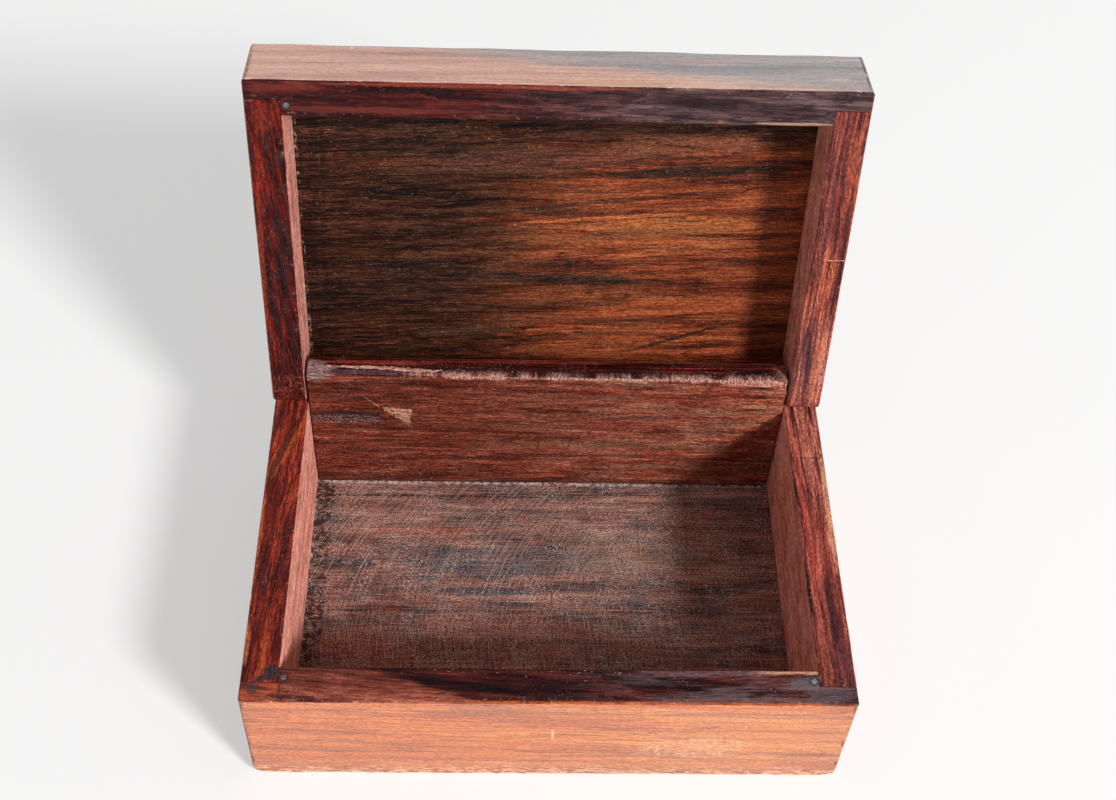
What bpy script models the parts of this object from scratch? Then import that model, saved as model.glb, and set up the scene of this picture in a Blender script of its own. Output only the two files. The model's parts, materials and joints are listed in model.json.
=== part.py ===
"""A small rosewood box with a marquetry lid that turns on two hidden pins, standing open.

Metres, +Z up. The origin is the middle of the base's underside. X runs along the front and Y to the back.
The base is modelled where it stands. The lid is modelled closed, around the hinge line, and its pieces hang
on an empty that is turned back to the open stop: there the ends of the lid's side walls lie on the rear edge
of the base. The base's back wall stands taller than the rim, between the lid's side walls, and holds the
hinge pins.
"""

import math
from dataclasses import dataclass

import bmesh
import bpy
from mathutils import Matrix, Vector

# The closed box
BOX_LENGTH = 0.152
BOX_DEPTH = 0.101
BASE_HEIGHT = 0.038
LID_HEIGHT = 0.019
ARRIS_ROUND = 0.0012

# Wall boards, and the front wall's lap over the ends of the side walls
BASE_SIDE_WALL = 0.0093
LID_SIDE_WALL = 0.0090
FRONT_WALL = 0.0098
BACK_WALL = 0.0075
CORNER_LAP = 0.0055

# Thin panels let into rebates, with this much wall left around them
FLOOR_PANEL = 0.0022
TOP_PANEL = 0.0022
PANEL_LIP = 0.0045

# The hinge line, from the back face and above the rim of the base, and what lies along it
PIVOT_INSET = 0.00415
PIVOT_HEIGHT = 0.0050
HINGE_PIN_RADIUS = 0.0010
HINGE_PIN_REACH = 0.0090
RAIL_HEIGHT = 0.0032
RAIL_DEPTH = 0.0070

# Small pins in the front corners, placed from the inner faces of the side wall and the front wall
CORNER_PIN_RADIUS = 0.00085
CORNER_PIN_FROM_SIDE = 0.00125
CORNER_PIN_FROM_FRONT = 0.0030
BASE_CORNER_PIN_LENGTH = 0.012
LID_CORNER_PIN_LENGTH = 0.010

# Marquetry let into the top panel
INLAY_THICKNESS = 0.0008
BANDING_WIDTH = 0.0024
BANDING_INSET = 0.0080
LOZENGE_LENGTH = 0.050
LOZENGE_DEPTH = 0.028

# Clearances
GLUE_GAP = 0.0003
SEAM_GAP = 0.0003
STOP_GAP = 0.0003
SWING_GAP = 0.0008
RAIL_GAP = 0.0005
PIN_RECESS = 0.0002

# How far a cutter or an untrimmed board runs past what it shapes
OVERRUN = 0.004

ARC_STEPS = 12
ROUND_SIDES = 20
ARRIS_STEPS = 3
SMOOTH_ANGLE = math.radians(35)

HALF_LENGTH = BOX_LENGTH / 2
HALF_DEPTH = BOX_DEPTH / 2
# The rear edge of the base stops the end faces of the open lid at this angle
OPEN_ANGLE = 2 * math.atan2(PIVOT_HEIGHT, PIVOT_INSET)
HINGE_LINE = Vector((0, HALF_DEPTH - PIVOT_INSET, BASE_HEIGHT + PIVOT_HEIGHT))
# The round top of the back wall, about the hinge line, clears the rail under the lid's panel
CROWN_RADIUS = LID_HEIGHT - TOP_PANEL - GLUE_GAP - RAIL_HEIGHT - RAIL_GAP - PIVOT_HEIGHT
LID_INNER_HALF = HALF_LENGTH - LID_SIDE_WALL
BACK_WALL_HALF = HALF_LENGTH - BASE_SIDE_WALL - GLUE_GAP
CROWN_HALF = min(BACK_WALL_HALF, LID_INNER_HALF - SWING_GAP)

SIDES = {"left": -1, "right": 1}

# Colours as linear red, green and blue
RED_BROWN = (0.16, 0.035, 0.022)
SALMON_BROWN = (0.40, 0.15, 0.075)
DARK_BROWN = (0.075, 0.03, 0.02)
DUSTY_BROWN = (0.13, 0.075, 0.055)
PALE_WOOD = (0.60, 0.42, 0.20)
BLACK_WOOD = (0.018, 0.011, 0.009)
GREY_METAL = (0.33, 0.33, 0.32)
# Of the lozenge's quarters: the front left and right, then the rear left and right
QUARTER_COLOURS = (PALE_WOOD, BLACK_WOOD, BLACK_WOOD, PALE_WOOD)


@dataclass
class Tray:
    """Half of the box, base or lid: its places in Y and Z, and its own board sizes."""

    name: str
    parent: object
    front: float
    rear: float
    rim: float
    outer: float
    side_wall: float
    panel: float
    panel_rear: float
    pin_length: float

    def outward(self):
        """The sign of Z that leads from the rim to the panel."""
        return math.copysign(1, self.outer - self.rim)

    def from_rim(self, depth):
        return self.rim + self.outward() * depth

    def from_outer(self, depth):
        return self.outer - self.outward() * depth


def clear_scene():
    for thing in list(bpy.data.objects):
        bpy.data.objects.remove(thing, do_unlink=True)


def principled(name, colour, roughness, metallic):
    material = bpy.data.materials.new(name)
    material.use_nodes = True
    shader = material.node_tree.nodes["Principled BSDF"]
    shader.inputs["Base Color"].default_value = (*colour, 1)
    shader.inputs["Roughness"].default_value = roughness
    shader.inputs["Metallic"].default_value = metallic
    material.diffuse_color = (*colour, 1)
    return material


def finish(piece, colour, roughness=0.5, metallic=0.0):
    """Gives a piece its own material, and shades its round stretches smooth."""
    piece.data.materials.append(principled(piece.name, colour, roughness, metallic))
    piece.data.shade_smooth()
    piece.data.set_sharp_from_angle(angle=SMOOTH_ANGLE)


def as_object(name, shape, parent, place):
    bmesh.ops.recalc_face_normals(shape, faces=shape.faces)
    mesh = bpy.data.meshes.new(name)
    shape.to_mesh(mesh)
    shape.free()
    piece = bpy.data.objects.new(name, mesh)
    piece.location = place
    piece.parent = parent
    bpy.context.scene.collection.objects.link(piece)
    return piece


def block(name, corner, opposite, parent=None):
    """A rectangular board between two opposite corners, with its origin in the middle."""
    corner, opposite = Vector(corner), Vector(opposite)
    size = [abs(length) for length in opposite - corner]
    shape = bmesh.new()
    bmesh.ops.create_cube(shape, size=1, matrix=Matrix.Diagonal((*size, 1)))
    return as_object(name, shape, parent, (corner + opposite) / 2)


def prism(name, outline, start, end, parent=None):
    """The flat outline, a list of points, carried from start to end."""
    start, end = Vector(start), Vector(end)
    shape = bmesh.new()
    face = shape.faces.new([shape.verts.new(start + Vector(point)) for point in outline])
    carried = bmesh.ops.extrude_face_region(shape, geom=[face])
    moved = [item for item in carried["geom"] if isinstance(item, bmesh.types.BMVert)]
    bmesh.ops.translate(shape, verts=moved, vec=end - start)
    return as_object(name, shape, parent, (0, 0, 0))


def rod(name, radius, start, end, parent=None):
    """A round bar from start to end, with its origin in the middle."""
    start, end = Vector(start), Vector(end)
    shape = bmesh.new()
    bmesh.ops.create_cone(
        shape,
        cap_ends=True,
        segments=ROUND_SIDES,
        radius1=radius,
        radius2=radius,
        depth=(end - start).length,
        matrix=(end - start).to_track_quat("Z", "Y").to_matrix().to_4x4(),
    )
    return as_object(name, shape, parent, (start + end) / 2)


def combine(piece, tool, operation):
    tool.hide_render = True
    tool.display_type = "WIRE"
    step = piece.modifiers.new(tool.name, "BOOLEAN")
    step.operation = operation
    step.object = tool


def cut(piece, *cutters):
    for cutter in cutters:
        combine(piece, cutter, "DIFFERENCE")


def trim(piece, envelope):
    """Flushes an oversize board with the outside of the glued-up box."""
    combine(piece, envelope, "INTERSECT")


def tray_envelope(tray):
    """The outside of a tray with worn arrises. It runs on past the rim, where the back wall stands up."""
    corner = (-HALF_LENGTH, tray.front, tray.outer)
    opposite = (HALF_LENGTH, tray.rear, tray.from_rim(-LID_HEIGHT))
    envelope = block(f"{tray.name}_envelope", corner, opposite, tray.parent)
    shape = bmesh.new()
    shape.from_mesh(envelope.data)
    worn = [edge for edge in shape.edges if any(vert.co.z * tray.outward() > 0 for vert in edge.verts)]
    bmesh.ops.bevel(
        shape,
        geom=worn,
        offset=ARRIS_ROUND,
        offset_type="OFFSET",
        segments=ARRIS_STEPS,
        profile=0.5,
        affect="EDGES",
    )
    shape.to_mesh(envelope.data)
    shape.free()
    return envelope


def panel_pocket(tray):
    """The rebate that the walls hold the thin panel in, with its glue gap."""
    half = HALF_LENGTH - PANEL_LIP + GLUE_GAP
    corner = (-half, tray.front + PANEL_LIP - GLUE_GAP, tray.from_outer(tray.panel + GLUE_GAP))
    opposite = (half, tray.panel_rear + GLUE_GAP, tray.from_outer(-OVERRUN))
    return block(f"{tray.name}_panel_pocket", corner, opposite, tray.parent)


def thin_panel(name, tray, envelope):
    half = HALF_LENGTH - PANEL_LIP
    corner = (-half, tray.front + PANEL_LIP, tray.from_outer(tray.panel))
    opposite = (half, tray.panel_rear, tray.from_outer(-OVERRUN))
    panel = block(name, corner, opposite, tray.parent)
    trim(panel, envelope)
    return panel


def corner_pin_place(tray, side, depth):
    """A point on a corner pin's line, this deep under the rim."""
    x = SIDES[side] * (HALF_LENGTH - tray.side_wall - CORNER_PIN_FROM_SIDE)
    return (x, tray.front + FRONT_WALL - CORNER_PIN_FROM_FRONT, tray.from_rim(depth))


def corner_pin(tray, side):
    top = corner_pin_place(tray, side, PIN_RECESS)
    bottom = corner_pin_place(tray, side, tray.pin_length)
    return rod(f"{tray.name}_corner_pin_{side}", CORNER_PIN_RADIUS, top, bottom, tray.parent)


def corner_pin_bore(tray, side):
    top = corner_pin_place(tray, side, -OVERRUN)
    bottom = corner_pin_place(tray, side, tray.pin_length + GLUE_GAP)
    return rod(f"{tray.name}_pin_bore_{side}", CORNER_PIN_RADIUS + GLUE_GAP, top, bottom, tray.parent)


def corner_rebate(tray, side):
    """Where the end of a side wall sits behind the front wall's lap."""
    shoulder = HALF_LENGTH - tray.side_wall - GLUE_GAP
    corner = (SIDES[side] * shoulder, tray.front + CORNER_LAP, tray.from_rim(-OVERRUN))
    opposite = (
        SIDES[side] * (HALF_LENGTH + OVERRUN),
        tray.front + FRONT_WALL + OVERRUN,
        tray.from_outer(-OVERRUN),
    )
    return block(f"{tray.name}_corner_rebate_{side}", corner, opposite, tray.parent)


def front_wall(tray, envelope, pocket):
    corner = (-HALF_LENGTH - OVERRUN, tray.front - OVERRUN, tray.rim)
    opposite = (HALF_LENGTH + OVERRUN, tray.front + FRONT_WALL, tray.from_outer(-OVERRUN))
    wall = block(f"{tray.name}_front_wall", corner, opposite, tray.parent)
    trim(wall, envelope)
    cut(wall, pocket, *(corner_rebate(tray, side) for side in SIDES))
    cut(wall, *(corner_pin_bore(tray, side) for side in SIDES))
    return wall


def side_wall(tray, side, outline, envelope, pocket):
    """A side board with the given outline in Y and Z, in front of which the front wall laps its end."""
    start = (SIDES[side] * (HALF_LENGTH - tray.side_wall), 0, 0)
    end = (SIDES[side] * (HALF_LENGTH + OVERRUN), 0, 0)
    wall = prism(f"{tray.name}_{side}_wall", outline, start, end, tray.parent)
    trim(wall, envelope)
    cut(wall, pocket)
    return wall


def base_side_outline(tray):
    front, rear = tray.front + CORNER_LAP + GLUE_GAP, tray.rear + OVERRUN
    outer = tray.from_outer(-OVERRUN)
    return [(0, front, outer), (0, rear, outer), (0, rear, tray.rim), (0, front, tray.rim)]


def lid_side_outline(tray):
    """A rectangle whose rear corner, under the hinge line, is an arc about it that rolls over the base's rim.

    The arc turns by the open angle or by a quarter, whichever is less, and runs on straight from there.
    """
    radius = -tray.rim
    turn = min(OPEN_ANGLE, math.pi / 2)
    angles = [turn * step / ARC_STEPS for step in range(ARC_STEPS + 1)]
    arc = [(0, radius * math.sin(angle), -radius * math.cos(angle)) for angle in angles]
    past = Vector(arc[-1]) + tray.outer * Vector((0, math.cos(turn), math.sin(turn)))
    front, outer = tray.front + CORNER_LAP + GLUE_GAP, tray.from_outer(-OVERRUN)
    return [(0, front, outer), (0, front, tray.rim), *arc, past, (0, past.y, outer)]


def back_wall_outline(tray):
    """A board whose top is an arc about the hinge line, from its front face over to its back face."""
    front_reach = min(BACK_WALL - PIVOT_INSET, CROWN_RADIUS)
    rear_reach = min(PIVOT_INSET + OVERRUN, CROWN_RADIUS)
    first, last = -math.asin(front_reach / CROWN_RADIUS), math.asin(rear_reach / CROWN_RADIUS)
    angles = [first + (last - first) * step / ARC_STEPS for step in range(ARC_STEPS + 1)]
    arc = [HINGE_LINE + CROWN_RADIUS * Vector((0, math.sin(angle), math.cos(angle))) for angle in angles]
    front, rear, outer = tray.rear - BACK_WALL, tray.rear + OVERRUN, tray.from_outer(-OVERRUN)
    shoulders = [(0, front, HINGE_LINE.z), (0, rear, HINGE_LINE.z)]
    return [(0, front, outer), shoulders[0], *arc, shoulders[1], (0, rear, outer)]


def swing_clearance(side):
    """What is cut off each end of the back wall above the rim, so that the lid's side wall passes it."""
    corner = (SIDES[side] * (LID_INNER_HALF - SWING_GAP), HALF_DEPTH - BACK_WALL - OVERRUN, BASE_HEIGHT)
    opposite = (SIDES[side] * (HALF_LENGTH + OVERRUN), HALF_DEPTH + OVERRUN, BASE_HEIGHT + LID_HEIGHT)
    return block(f"swing_clearance_{side}", corner, opposite)


def hinge_bore_in_base(side):
    start = HINGE_LINE + Vector((SIDES[side] * (HALF_LENGTH + OVERRUN), 0, 0))
    end = HINGE_LINE + Vector((SIDES[side] * (CROWN_HALF - HINGE_PIN_REACH - GLUE_GAP), 0, 0))
    return rod(f"base_hinge_bore_{side}", HINGE_PIN_RADIUS + GLUE_GAP, start, end)


def hinge_bore_in_lid(tray, side):
    start = (SIDES[side] * (HALF_LENGTH + OVERRUN), 0, 0)
    end = (SIDES[side] * (LID_INNER_HALF - OVERRUN), 0, 0)
    return rod(f"lid_hinge_bore_{side}", HINGE_PIN_RADIUS + GLUE_GAP, start, end, tray.parent)


def hinge_pin(side):
    """Driven in from outside, through the lid's side wall into the end of the back wall."""
    start = HINGE_LINE + Vector((SIDES[side] * (HALF_LENGTH - PIN_RECESS), 0, 0))
    end = HINGE_LINE + Vector((SIDES[side] * (CROWN_HALF - HINGE_PIN_REACH), 0, 0))
    return rod(f"hinge_pin_{side}", HINGE_PIN_RADIUS, start, end)


def back_wall(tray, envelope, pocket):
    outline = back_wall_outline(tray)
    wall = prism("base_back_wall", outline, (-BACK_WALL_HALF, 0, 0), (BACK_WALL_HALF, 0, 0))
    trim(wall, envelope)
    cut(wall, pocket, *(swing_clearance(side) for side in SIDES))
    cut(wall, *(hinge_bore_in_base(side) for side in SIDES))
    return wall


def rear_rail(tray, envelope):
    """The strip that closes the gap between the back wall's round top and the lid's panel."""
    half = LID_INNER_HALF - GLUE_GAP
    corner = (-half, tray.rear - RAIL_DEPTH, CROWN_RADIUS + RAIL_GAP)
    opposite = (half, tray.rear + OVERRUN, tray.from_outer(tray.panel + GLUE_GAP))
    rail = block("lid_rear_rail", corner, opposite, tray.parent)
    trim(rail, envelope)
    return rail


def rectangle(half_x, half_y, middle):
    signs = [(-1, -1), (1, -1), (1, 1), (-1, 1)]
    return [Vector((sign_x * half_x, middle + sign_y * half_y, 0)) for sign_x, sign_y in signs]


def inlay(tray, name, outline):
    """One piece of marquetry, flush with the top of the lid."""
    low, high = (0, 0, tray.from_outer(INLAY_THICKNESS)), (0, 0, tray.outer)
    return prism(name, outline, low, high, tray.parent)


def inlay_pocket(tray, name, outline):
    low, high = (0, 0, tray.from_outer(INLAY_THICKNESS + GLUE_GAP)), (0, 0, tray.from_outer(-OVERRUN))
    return prism(name, outline, low, high, tray.parent)


def banding_rectangle(tray, inset):
    """The corners of a rectangle this far inside the banding's outer edge, front left first."""
    inset += PANEL_LIP + BANDING_INSET
    middle = (tray.front + tray.rear) / 2
    return rectangle(HALF_LENGTH - inset, (tray.rear - tray.front) / 2 - inset, middle)


def banding(tray):
    """Four mitred strips around the lid. Each recedes from its mitres by half of the glue gap."""
    outside, inside = banding_rectangle(tray, 0), banding_rectangle(tray, BANDING_WIDTH)
    strips = []
    for start, place in enumerate(("front", "right", "rear", "left")):
        end = (start + 1) % len(outside)
        back = (outside[end] - outside[start]).normalized() * GLUE_GAP / math.sqrt(2)
        outline = [outside[start] + back, outside[end] - back, inside[end] - back, inside[start] + back]
        strips.append(inlay(tray, f"banding_{place}", outline))
    return strips


def banding_groove(tray):
    """A shallow groove around the lid, as a wide pocket with an island left in its middle."""
    groove = inlay_pocket(tray, "banding_groove", banding_rectangle(tray, -GLUE_GAP))
    island = banding_rectangle(tray, BANDING_WIDTH + GLUE_GAP)
    low, high = (0, 0, tray.from_outer(tray.panel)), (0, 0, tray.from_outer(-2 * OVERRUN))
    cut(groove, prism("banding_island", island, low, high, tray.parent))
    return groove


def lozenge_pocket(tray):
    """A rhombus whose edges lie a glue gap outside those of the inlaid lozenge."""
    middle = (tray.front + tray.rear) / 2
    half_x, half_y = LOZENGE_LENGTH / 2, LOZENGE_DEPTH / 2
    edge = math.hypot(half_x, half_y)
    wide_x, wide_y = half_x + GLUE_GAP * edge / half_y, half_y + GLUE_GAP * edge / half_x
    tips = [(-wide_x, middle, 0), (0, middle - wide_y, 0), (wide_x, middle, 0), (0, middle + wide_y, 0)]
    return inlay_pocket(tray, "lozenge_pocket", tips)


def lozenge(tray):
    """A lozenge in four quarters, with the glue gap along its two diagonals."""
    middle = (tray.front + tray.rear) / 2
    half_x, half_y = LOZENGE_LENGTH / 2, LOZENGE_DEPTH / 2
    back = GLUE_GAP / 2
    quarters = []
    for place, sign_y in (("front", -1), ("rear", 1)):
        for side, sign_x in SIDES.items():
            inner = (sign_x * back, middle + sign_y * back, 0)
            tip_x = (sign_x * half_x * (1 - back / half_y), middle + sign_y * back, 0)
            tip_y = (sign_x * back, middle + sign_y * half_y * (1 - back / half_x), 0)
            quarters.append(inlay(tray, f"lozenge_{place}_{side}", [inner, tip_x, tip_y]))
    return quarters


def make_base():
    base = Tray(
        name="base",
        parent=None,
        front=-HALF_DEPTH,
        rear=HALF_DEPTH,
        rim=BASE_HEIGHT,
        outer=0,
        side_wall=BASE_SIDE_WALL,
        panel=FLOOR_PANEL,
        panel_rear=HALF_DEPTH - PANEL_LIP,
        pin_length=BASE_CORNER_PIN_LENGTH,
    )
    envelope, pocket = tray_envelope(base), panel_pocket(base)
    finish(front_wall(base, envelope, pocket), SALMON_BROWN)
    for side in SIDES:
        finish(side_wall(base, side, base_side_outline(base), envelope, pocket), RED_BROWN)
        finish(corner_pin(base, side), GREY_METAL, roughness=0.4, metallic=1.0)
        finish(hinge_pin(side), GREY_METAL, roughness=0.35, metallic=1.0)
    finish(back_wall(base, envelope, pocket), RED_BROWN, roughness=0.6)
    finish(thin_panel("base_floor_panel", base, envelope), DUSTY_BROWN, roughness=0.8)


def make_lid():
    """The lid, around the hinge line, turned back from closed to its open stop."""
    hinge = bpy.data.objects.new("lid_hinge_line", None)
    hinge.location = HINGE_LINE
    hinge.rotation_euler.x = -OPEN_ANGLE
    bpy.context.scene.collection.objects.link(hinge)
    lid = Tray(
        name="lid",
        parent=hinge,
        front=PIVOT_INSET - BOX_DEPTH,
        rear=PIVOT_INSET - STOP_GAP,
        rim=SEAM_GAP - PIVOT_HEIGHT,
        outer=LID_HEIGHT - PIVOT_HEIGHT,
        side_wall=LID_SIDE_WALL,
        panel=TOP_PANEL,
        panel_rear=PIVOT_INSET + OVERRUN,
        pin_length=LID_CORNER_PIN_LENGTH,
    )
    envelope, pocket = tray_envelope(lid), panel_pocket(lid)
    finish(front_wall(lid, envelope, pocket), SALMON_BROWN)
    for side in SIDES:
        wall = side_wall(lid, side, lid_side_outline(lid), envelope, pocket)
        cut(wall, hinge_bore_in_lid(lid, side))
        finish(wall, RED_BROWN)
        finish(corner_pin(lid, side), GREY_METAL, roughness=0.4, metallic=1.0)
    finish(rear_rail(lid, envelope), RED_BROWN)
    panel = thin_panel("lid_top_panel", lid, envelope)
    cut(panel, banding_groove(lid), lozenge_pocket(lid))
    finish(panel, DARK_BROWN)
    for strip in banding(lid):
        finish(strip, PALE_WOOD, roughness=0.45)
    for quarter, colour in zip(lozenge(lid), QUARTER_COLOURS):
        finish(quarter, colour, roughness=0.45)


clear_scene()
make_base()
make_lid()
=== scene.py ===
# %% [markdown]
# A small rosewood box that stands open
#
# The real box is six thin boards and two panels, glued up as two trays. The lid turns on two hidden pins
# and leans on the rear edge of the base. The packed model holds every board as a plain solid. Here each
# board that the eye rests on gets a softer shape, with rubbed arrises, torn fibres and chips, and every
# piece gets a wood or metal finish made of nodes. Each new board stays exactly where its solid is.

# %% Load the packed model
import json
import math

import bpy
import numpy as np
from mathutils import Matrix, Vector


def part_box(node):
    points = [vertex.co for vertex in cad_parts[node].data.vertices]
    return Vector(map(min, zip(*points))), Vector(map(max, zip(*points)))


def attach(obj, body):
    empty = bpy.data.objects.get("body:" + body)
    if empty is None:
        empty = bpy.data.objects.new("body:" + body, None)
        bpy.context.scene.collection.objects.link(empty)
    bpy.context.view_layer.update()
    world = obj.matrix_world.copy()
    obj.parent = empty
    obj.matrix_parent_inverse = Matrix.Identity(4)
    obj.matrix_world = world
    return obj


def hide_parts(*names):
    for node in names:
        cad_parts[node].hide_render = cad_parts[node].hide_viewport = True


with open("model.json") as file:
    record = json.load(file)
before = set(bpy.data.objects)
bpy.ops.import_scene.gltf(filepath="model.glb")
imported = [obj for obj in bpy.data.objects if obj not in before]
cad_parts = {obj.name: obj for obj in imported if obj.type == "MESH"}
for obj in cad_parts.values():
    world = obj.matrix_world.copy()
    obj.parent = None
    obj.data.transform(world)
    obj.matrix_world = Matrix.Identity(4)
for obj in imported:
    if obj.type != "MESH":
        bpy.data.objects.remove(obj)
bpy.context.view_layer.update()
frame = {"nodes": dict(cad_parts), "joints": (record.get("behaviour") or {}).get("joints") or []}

print("nodes in the frame:", len(frame["nodes"]))

# %% [markdown]
# Millimetres, and the lid's own frame
#
# The boards are a few millimetres thick, so all sizes below are in millimetres, and the mesh is scaled to
# metres when it is made. The lid was planed flat and shut, so its boards are worked out shut, in a frame
# about the hinge line, and then turned open. The angle comes from the stop: the end faces of the lid's
# sides lie on the rear edge of the base, so it is twice the angle under which that edge is seen.

# %% Millimetres and the hinge
MM = 0.001
HINGE_LINE = np.array(frame["joints"][0]["pos_m"]) / MM


def box_of(node):
    """The lowest and highest corner of a node, in millimetres."""
    return [np.array(corner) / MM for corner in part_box(node)]


base_side_low, base_side_high = box_of("base_left_wall")
RIM = base_side_high[2]
REAR = base_side_high[1]
OPEN_ANGLE = 2 * math.atan2(HINGE_LINE[2] - RIM, REAR - HINGE_LINE[1])
print("open angle:", round(math.degrees(OPEN_ANGLE), 2), "degrees")


def shut(points):
    """From the open lid to the lid's own frame: minus the hinge line, then turned shut about X."""
    x, y, z = np.moveaxis(points - HINGE_LINE, -1, 0)
    c, s = math.cos(OPEN_ANGLE), math.sin(OPEN_ANGLE)
    return np.stack([x, y * c - z * s, y * s + z * c], -1)


def opened(points):
    """The way back: turned open about X, then plus the hinge line."""
    x, y, z = np.moveaxis(points, -1, 0)
    c, s = math.cos(OPEN_ANGLE), math.sin(OPEN_ANGLE)
    return np.stack([x, y * c + z * s, z * c - y * s], -1) + HINGE_LINE


def shut_points(node):
    """The corners of a lid node's solid, in the lid's own frame."""
    mesh = frame["nodes"][node].data
    flat = np.empty(len(mesh.vertices) * 3, np.float32)
    mesh.vertices.foreach_get("co", flat)
    return shut(flat.reshape(-1, 3).astype(float) / MM)


def shut_box(node):
    """The lowest and highest corner of a lid node in the lid's own frame."""
    points = shut_points(node)
    return points.min(0), points.max(0)


print("lid front board, shut:", [corner.round(2).tolist() for corner in shut_box("lid_front_wall")])

# %% [markdown]
# A smooth random field
#
# Hand work is never even, so radii, faces and torn edges need a little disorder that is the same on every
# run. Blender's own noise takes one point at a time. Value noise is easy to work out for a whole array: a
# fixed pseudo-random number sits at every corner of a lattice, and the eight around a point are blended
# with smooth weights.

# %% Value noise on whole arrays
# Primes that spread neighbouring cells, seeds and bits far apart
CELL_PRIMES = np.array([73856093, 19349663, 83492791])
SEED_PRIME = 7919
MIX_PRIME = 1274126177
# How far one seed's lattice lies from the next one's, in cells
SEED_SHIFT = 31.7


def rough(points, size, seed=0):
    """Between -1 and 1: the random numbers at a cell's eight corners, blended by t * t * (3 - 2 t)."""
    scaled = points / np.asarray(size, float) + SEED_SHIFT * seed
    cell = np.floor(scaled).astype(np.int64)
    t = scaled - cell
    t = t * t * (3 - 2 * t)
    total = 0
    for corner in np.ndindex(2, 2, 2):
        mixed = ((cell + corner) * CELL_PRIMES).sum(-1) + seed * SEED_PRIME
        mixed = ((mixed ^ (mixed >> 13)) * MIX_PRIME) & 0xFFFFFFFF
        mixed = (mixed ^ (mixed >> 16)) & 0xFFFF
        total = total + (mixed / 0x7FFF - 1) * np.prod(np.where(corner, t, 1 - t), -1)
    return total


def step(value, low, high):
    """From 0 at low to 1 at high with a smooth start and end."""
    t = np.clip((value - low) / (high - low), 0, 1)
    return t * t * (3 - 2 * t)


cloud = np.random.default_rng(1).uniform(-50, 50, (4000, 3))
probe = rough(cloud, 3)
print("noise from", probe.min().round(2), "to", probe.max().round(2))

# %% [markdown]
# The cross-section of a board
#
# A planed board is one cross-section carried along its length. The section is a polygon whose corners are
# rounded where hands have rubbed them. To let rebates, laps and worn ends change the section on the way,
# each ring of the board may push each edge of the polygon inwards by its own amount. Edges are lines, so
# the pushed corners are where neighbouring lines meet, and each gets an arc that touches both.

# %% Where the edges meet, and the arcs there
ARC_STEPS = 4


def edges_of(corners):
    """Edge i runs from corner i to the next, with the inside on its left. Its outward normal is its
    direction turned right by a quarter."""
    run = np.roll(corners, -1, 0) - corners
    run /= np.linalg.norm(run, axis=1)[:, None]
    return run, np.stack([run[:, 1], -run[:, 0]], 1)


def arcs_of(corners, insets, radii):
    """Corner = where the lines (normal . p = reach - inset) of two edges meet. Arc centre = corner, back
    along the first edge by radius * tan(turn / 2), then a radius to the side. Gives, for all rings at
    once, the arcs' points, normals, both ends, and which corners stick out."""
    corners = np.asarray(corners, float)
    run, out = edges_of(corners)
    reach = (out * corners).sum(1) - insets
    before, reach_before, arrive = np.roll(out, 1, 0), np.roll(reach, 1, 1), np.roll(run, 1, 0)
    cross = before[:, 0] * out[:, 1] - before[:, 1] * out[:, 0]
    meet_a = (reach_before * out[:, 1] - reach * before[:, 1]) / cross
    meet_b = (reach * before[:, 0] - reach_before * out[:, 0]) / cross
    meet = np.stack([meet_a, meet_b], -1)
    turn = np.arctan2(cross, (arrive * run).sum(1))
    side = np.sign(turn)
    back = (radii * np.tan(np.abs(turn) / 2))[..., None]
    begin, end = meet - arrive * back, meet + run * back
    centre = begin - before * (side * radii)[..., None]
    angle = turn[:, None] * np.linspace(0, 1, ARC_STEPS + 1)
    c, s = np.cos(angle), np.sin(angle)
    around = np.stack([before[:, :1] * c - before[:, 1:] * s, before[:, :1] * s + before[:, 1:] * c], -1)
    arcs = centre[:, :, None] + around * (side * radii)[:, :, None, None]
    return arcs, around, begin, end, side > 0


square = np.array([(0, 0), (10, 0), (10, 10), (0, 10)])
test_arcs = arcs_of(square, np.zeros((1, 4)), np.ones((1, 4)))[0]
print("an arc on a test square goes from", test_arcs[0, 0, 0].round(2), "to", test_arcs[0, 0, -1].round(2))

# %% [markdown]
# Filling in the straight stretches
#
# Between two arcs an edge is straight. Its points crowd towards the arcs, where the wear needs them. Each
# point also has to know which edges it belongs to, because every edge has its own arris at the board's
# ends, and how near it is to an arris, because that is where the wood is rubbed.

# %% Rounded sections for every ring
# How far rubbing reaches from an arris onto the faces, and the largest radius that still is an arris
RUB = 0.7
KEEN = 2.0


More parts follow.
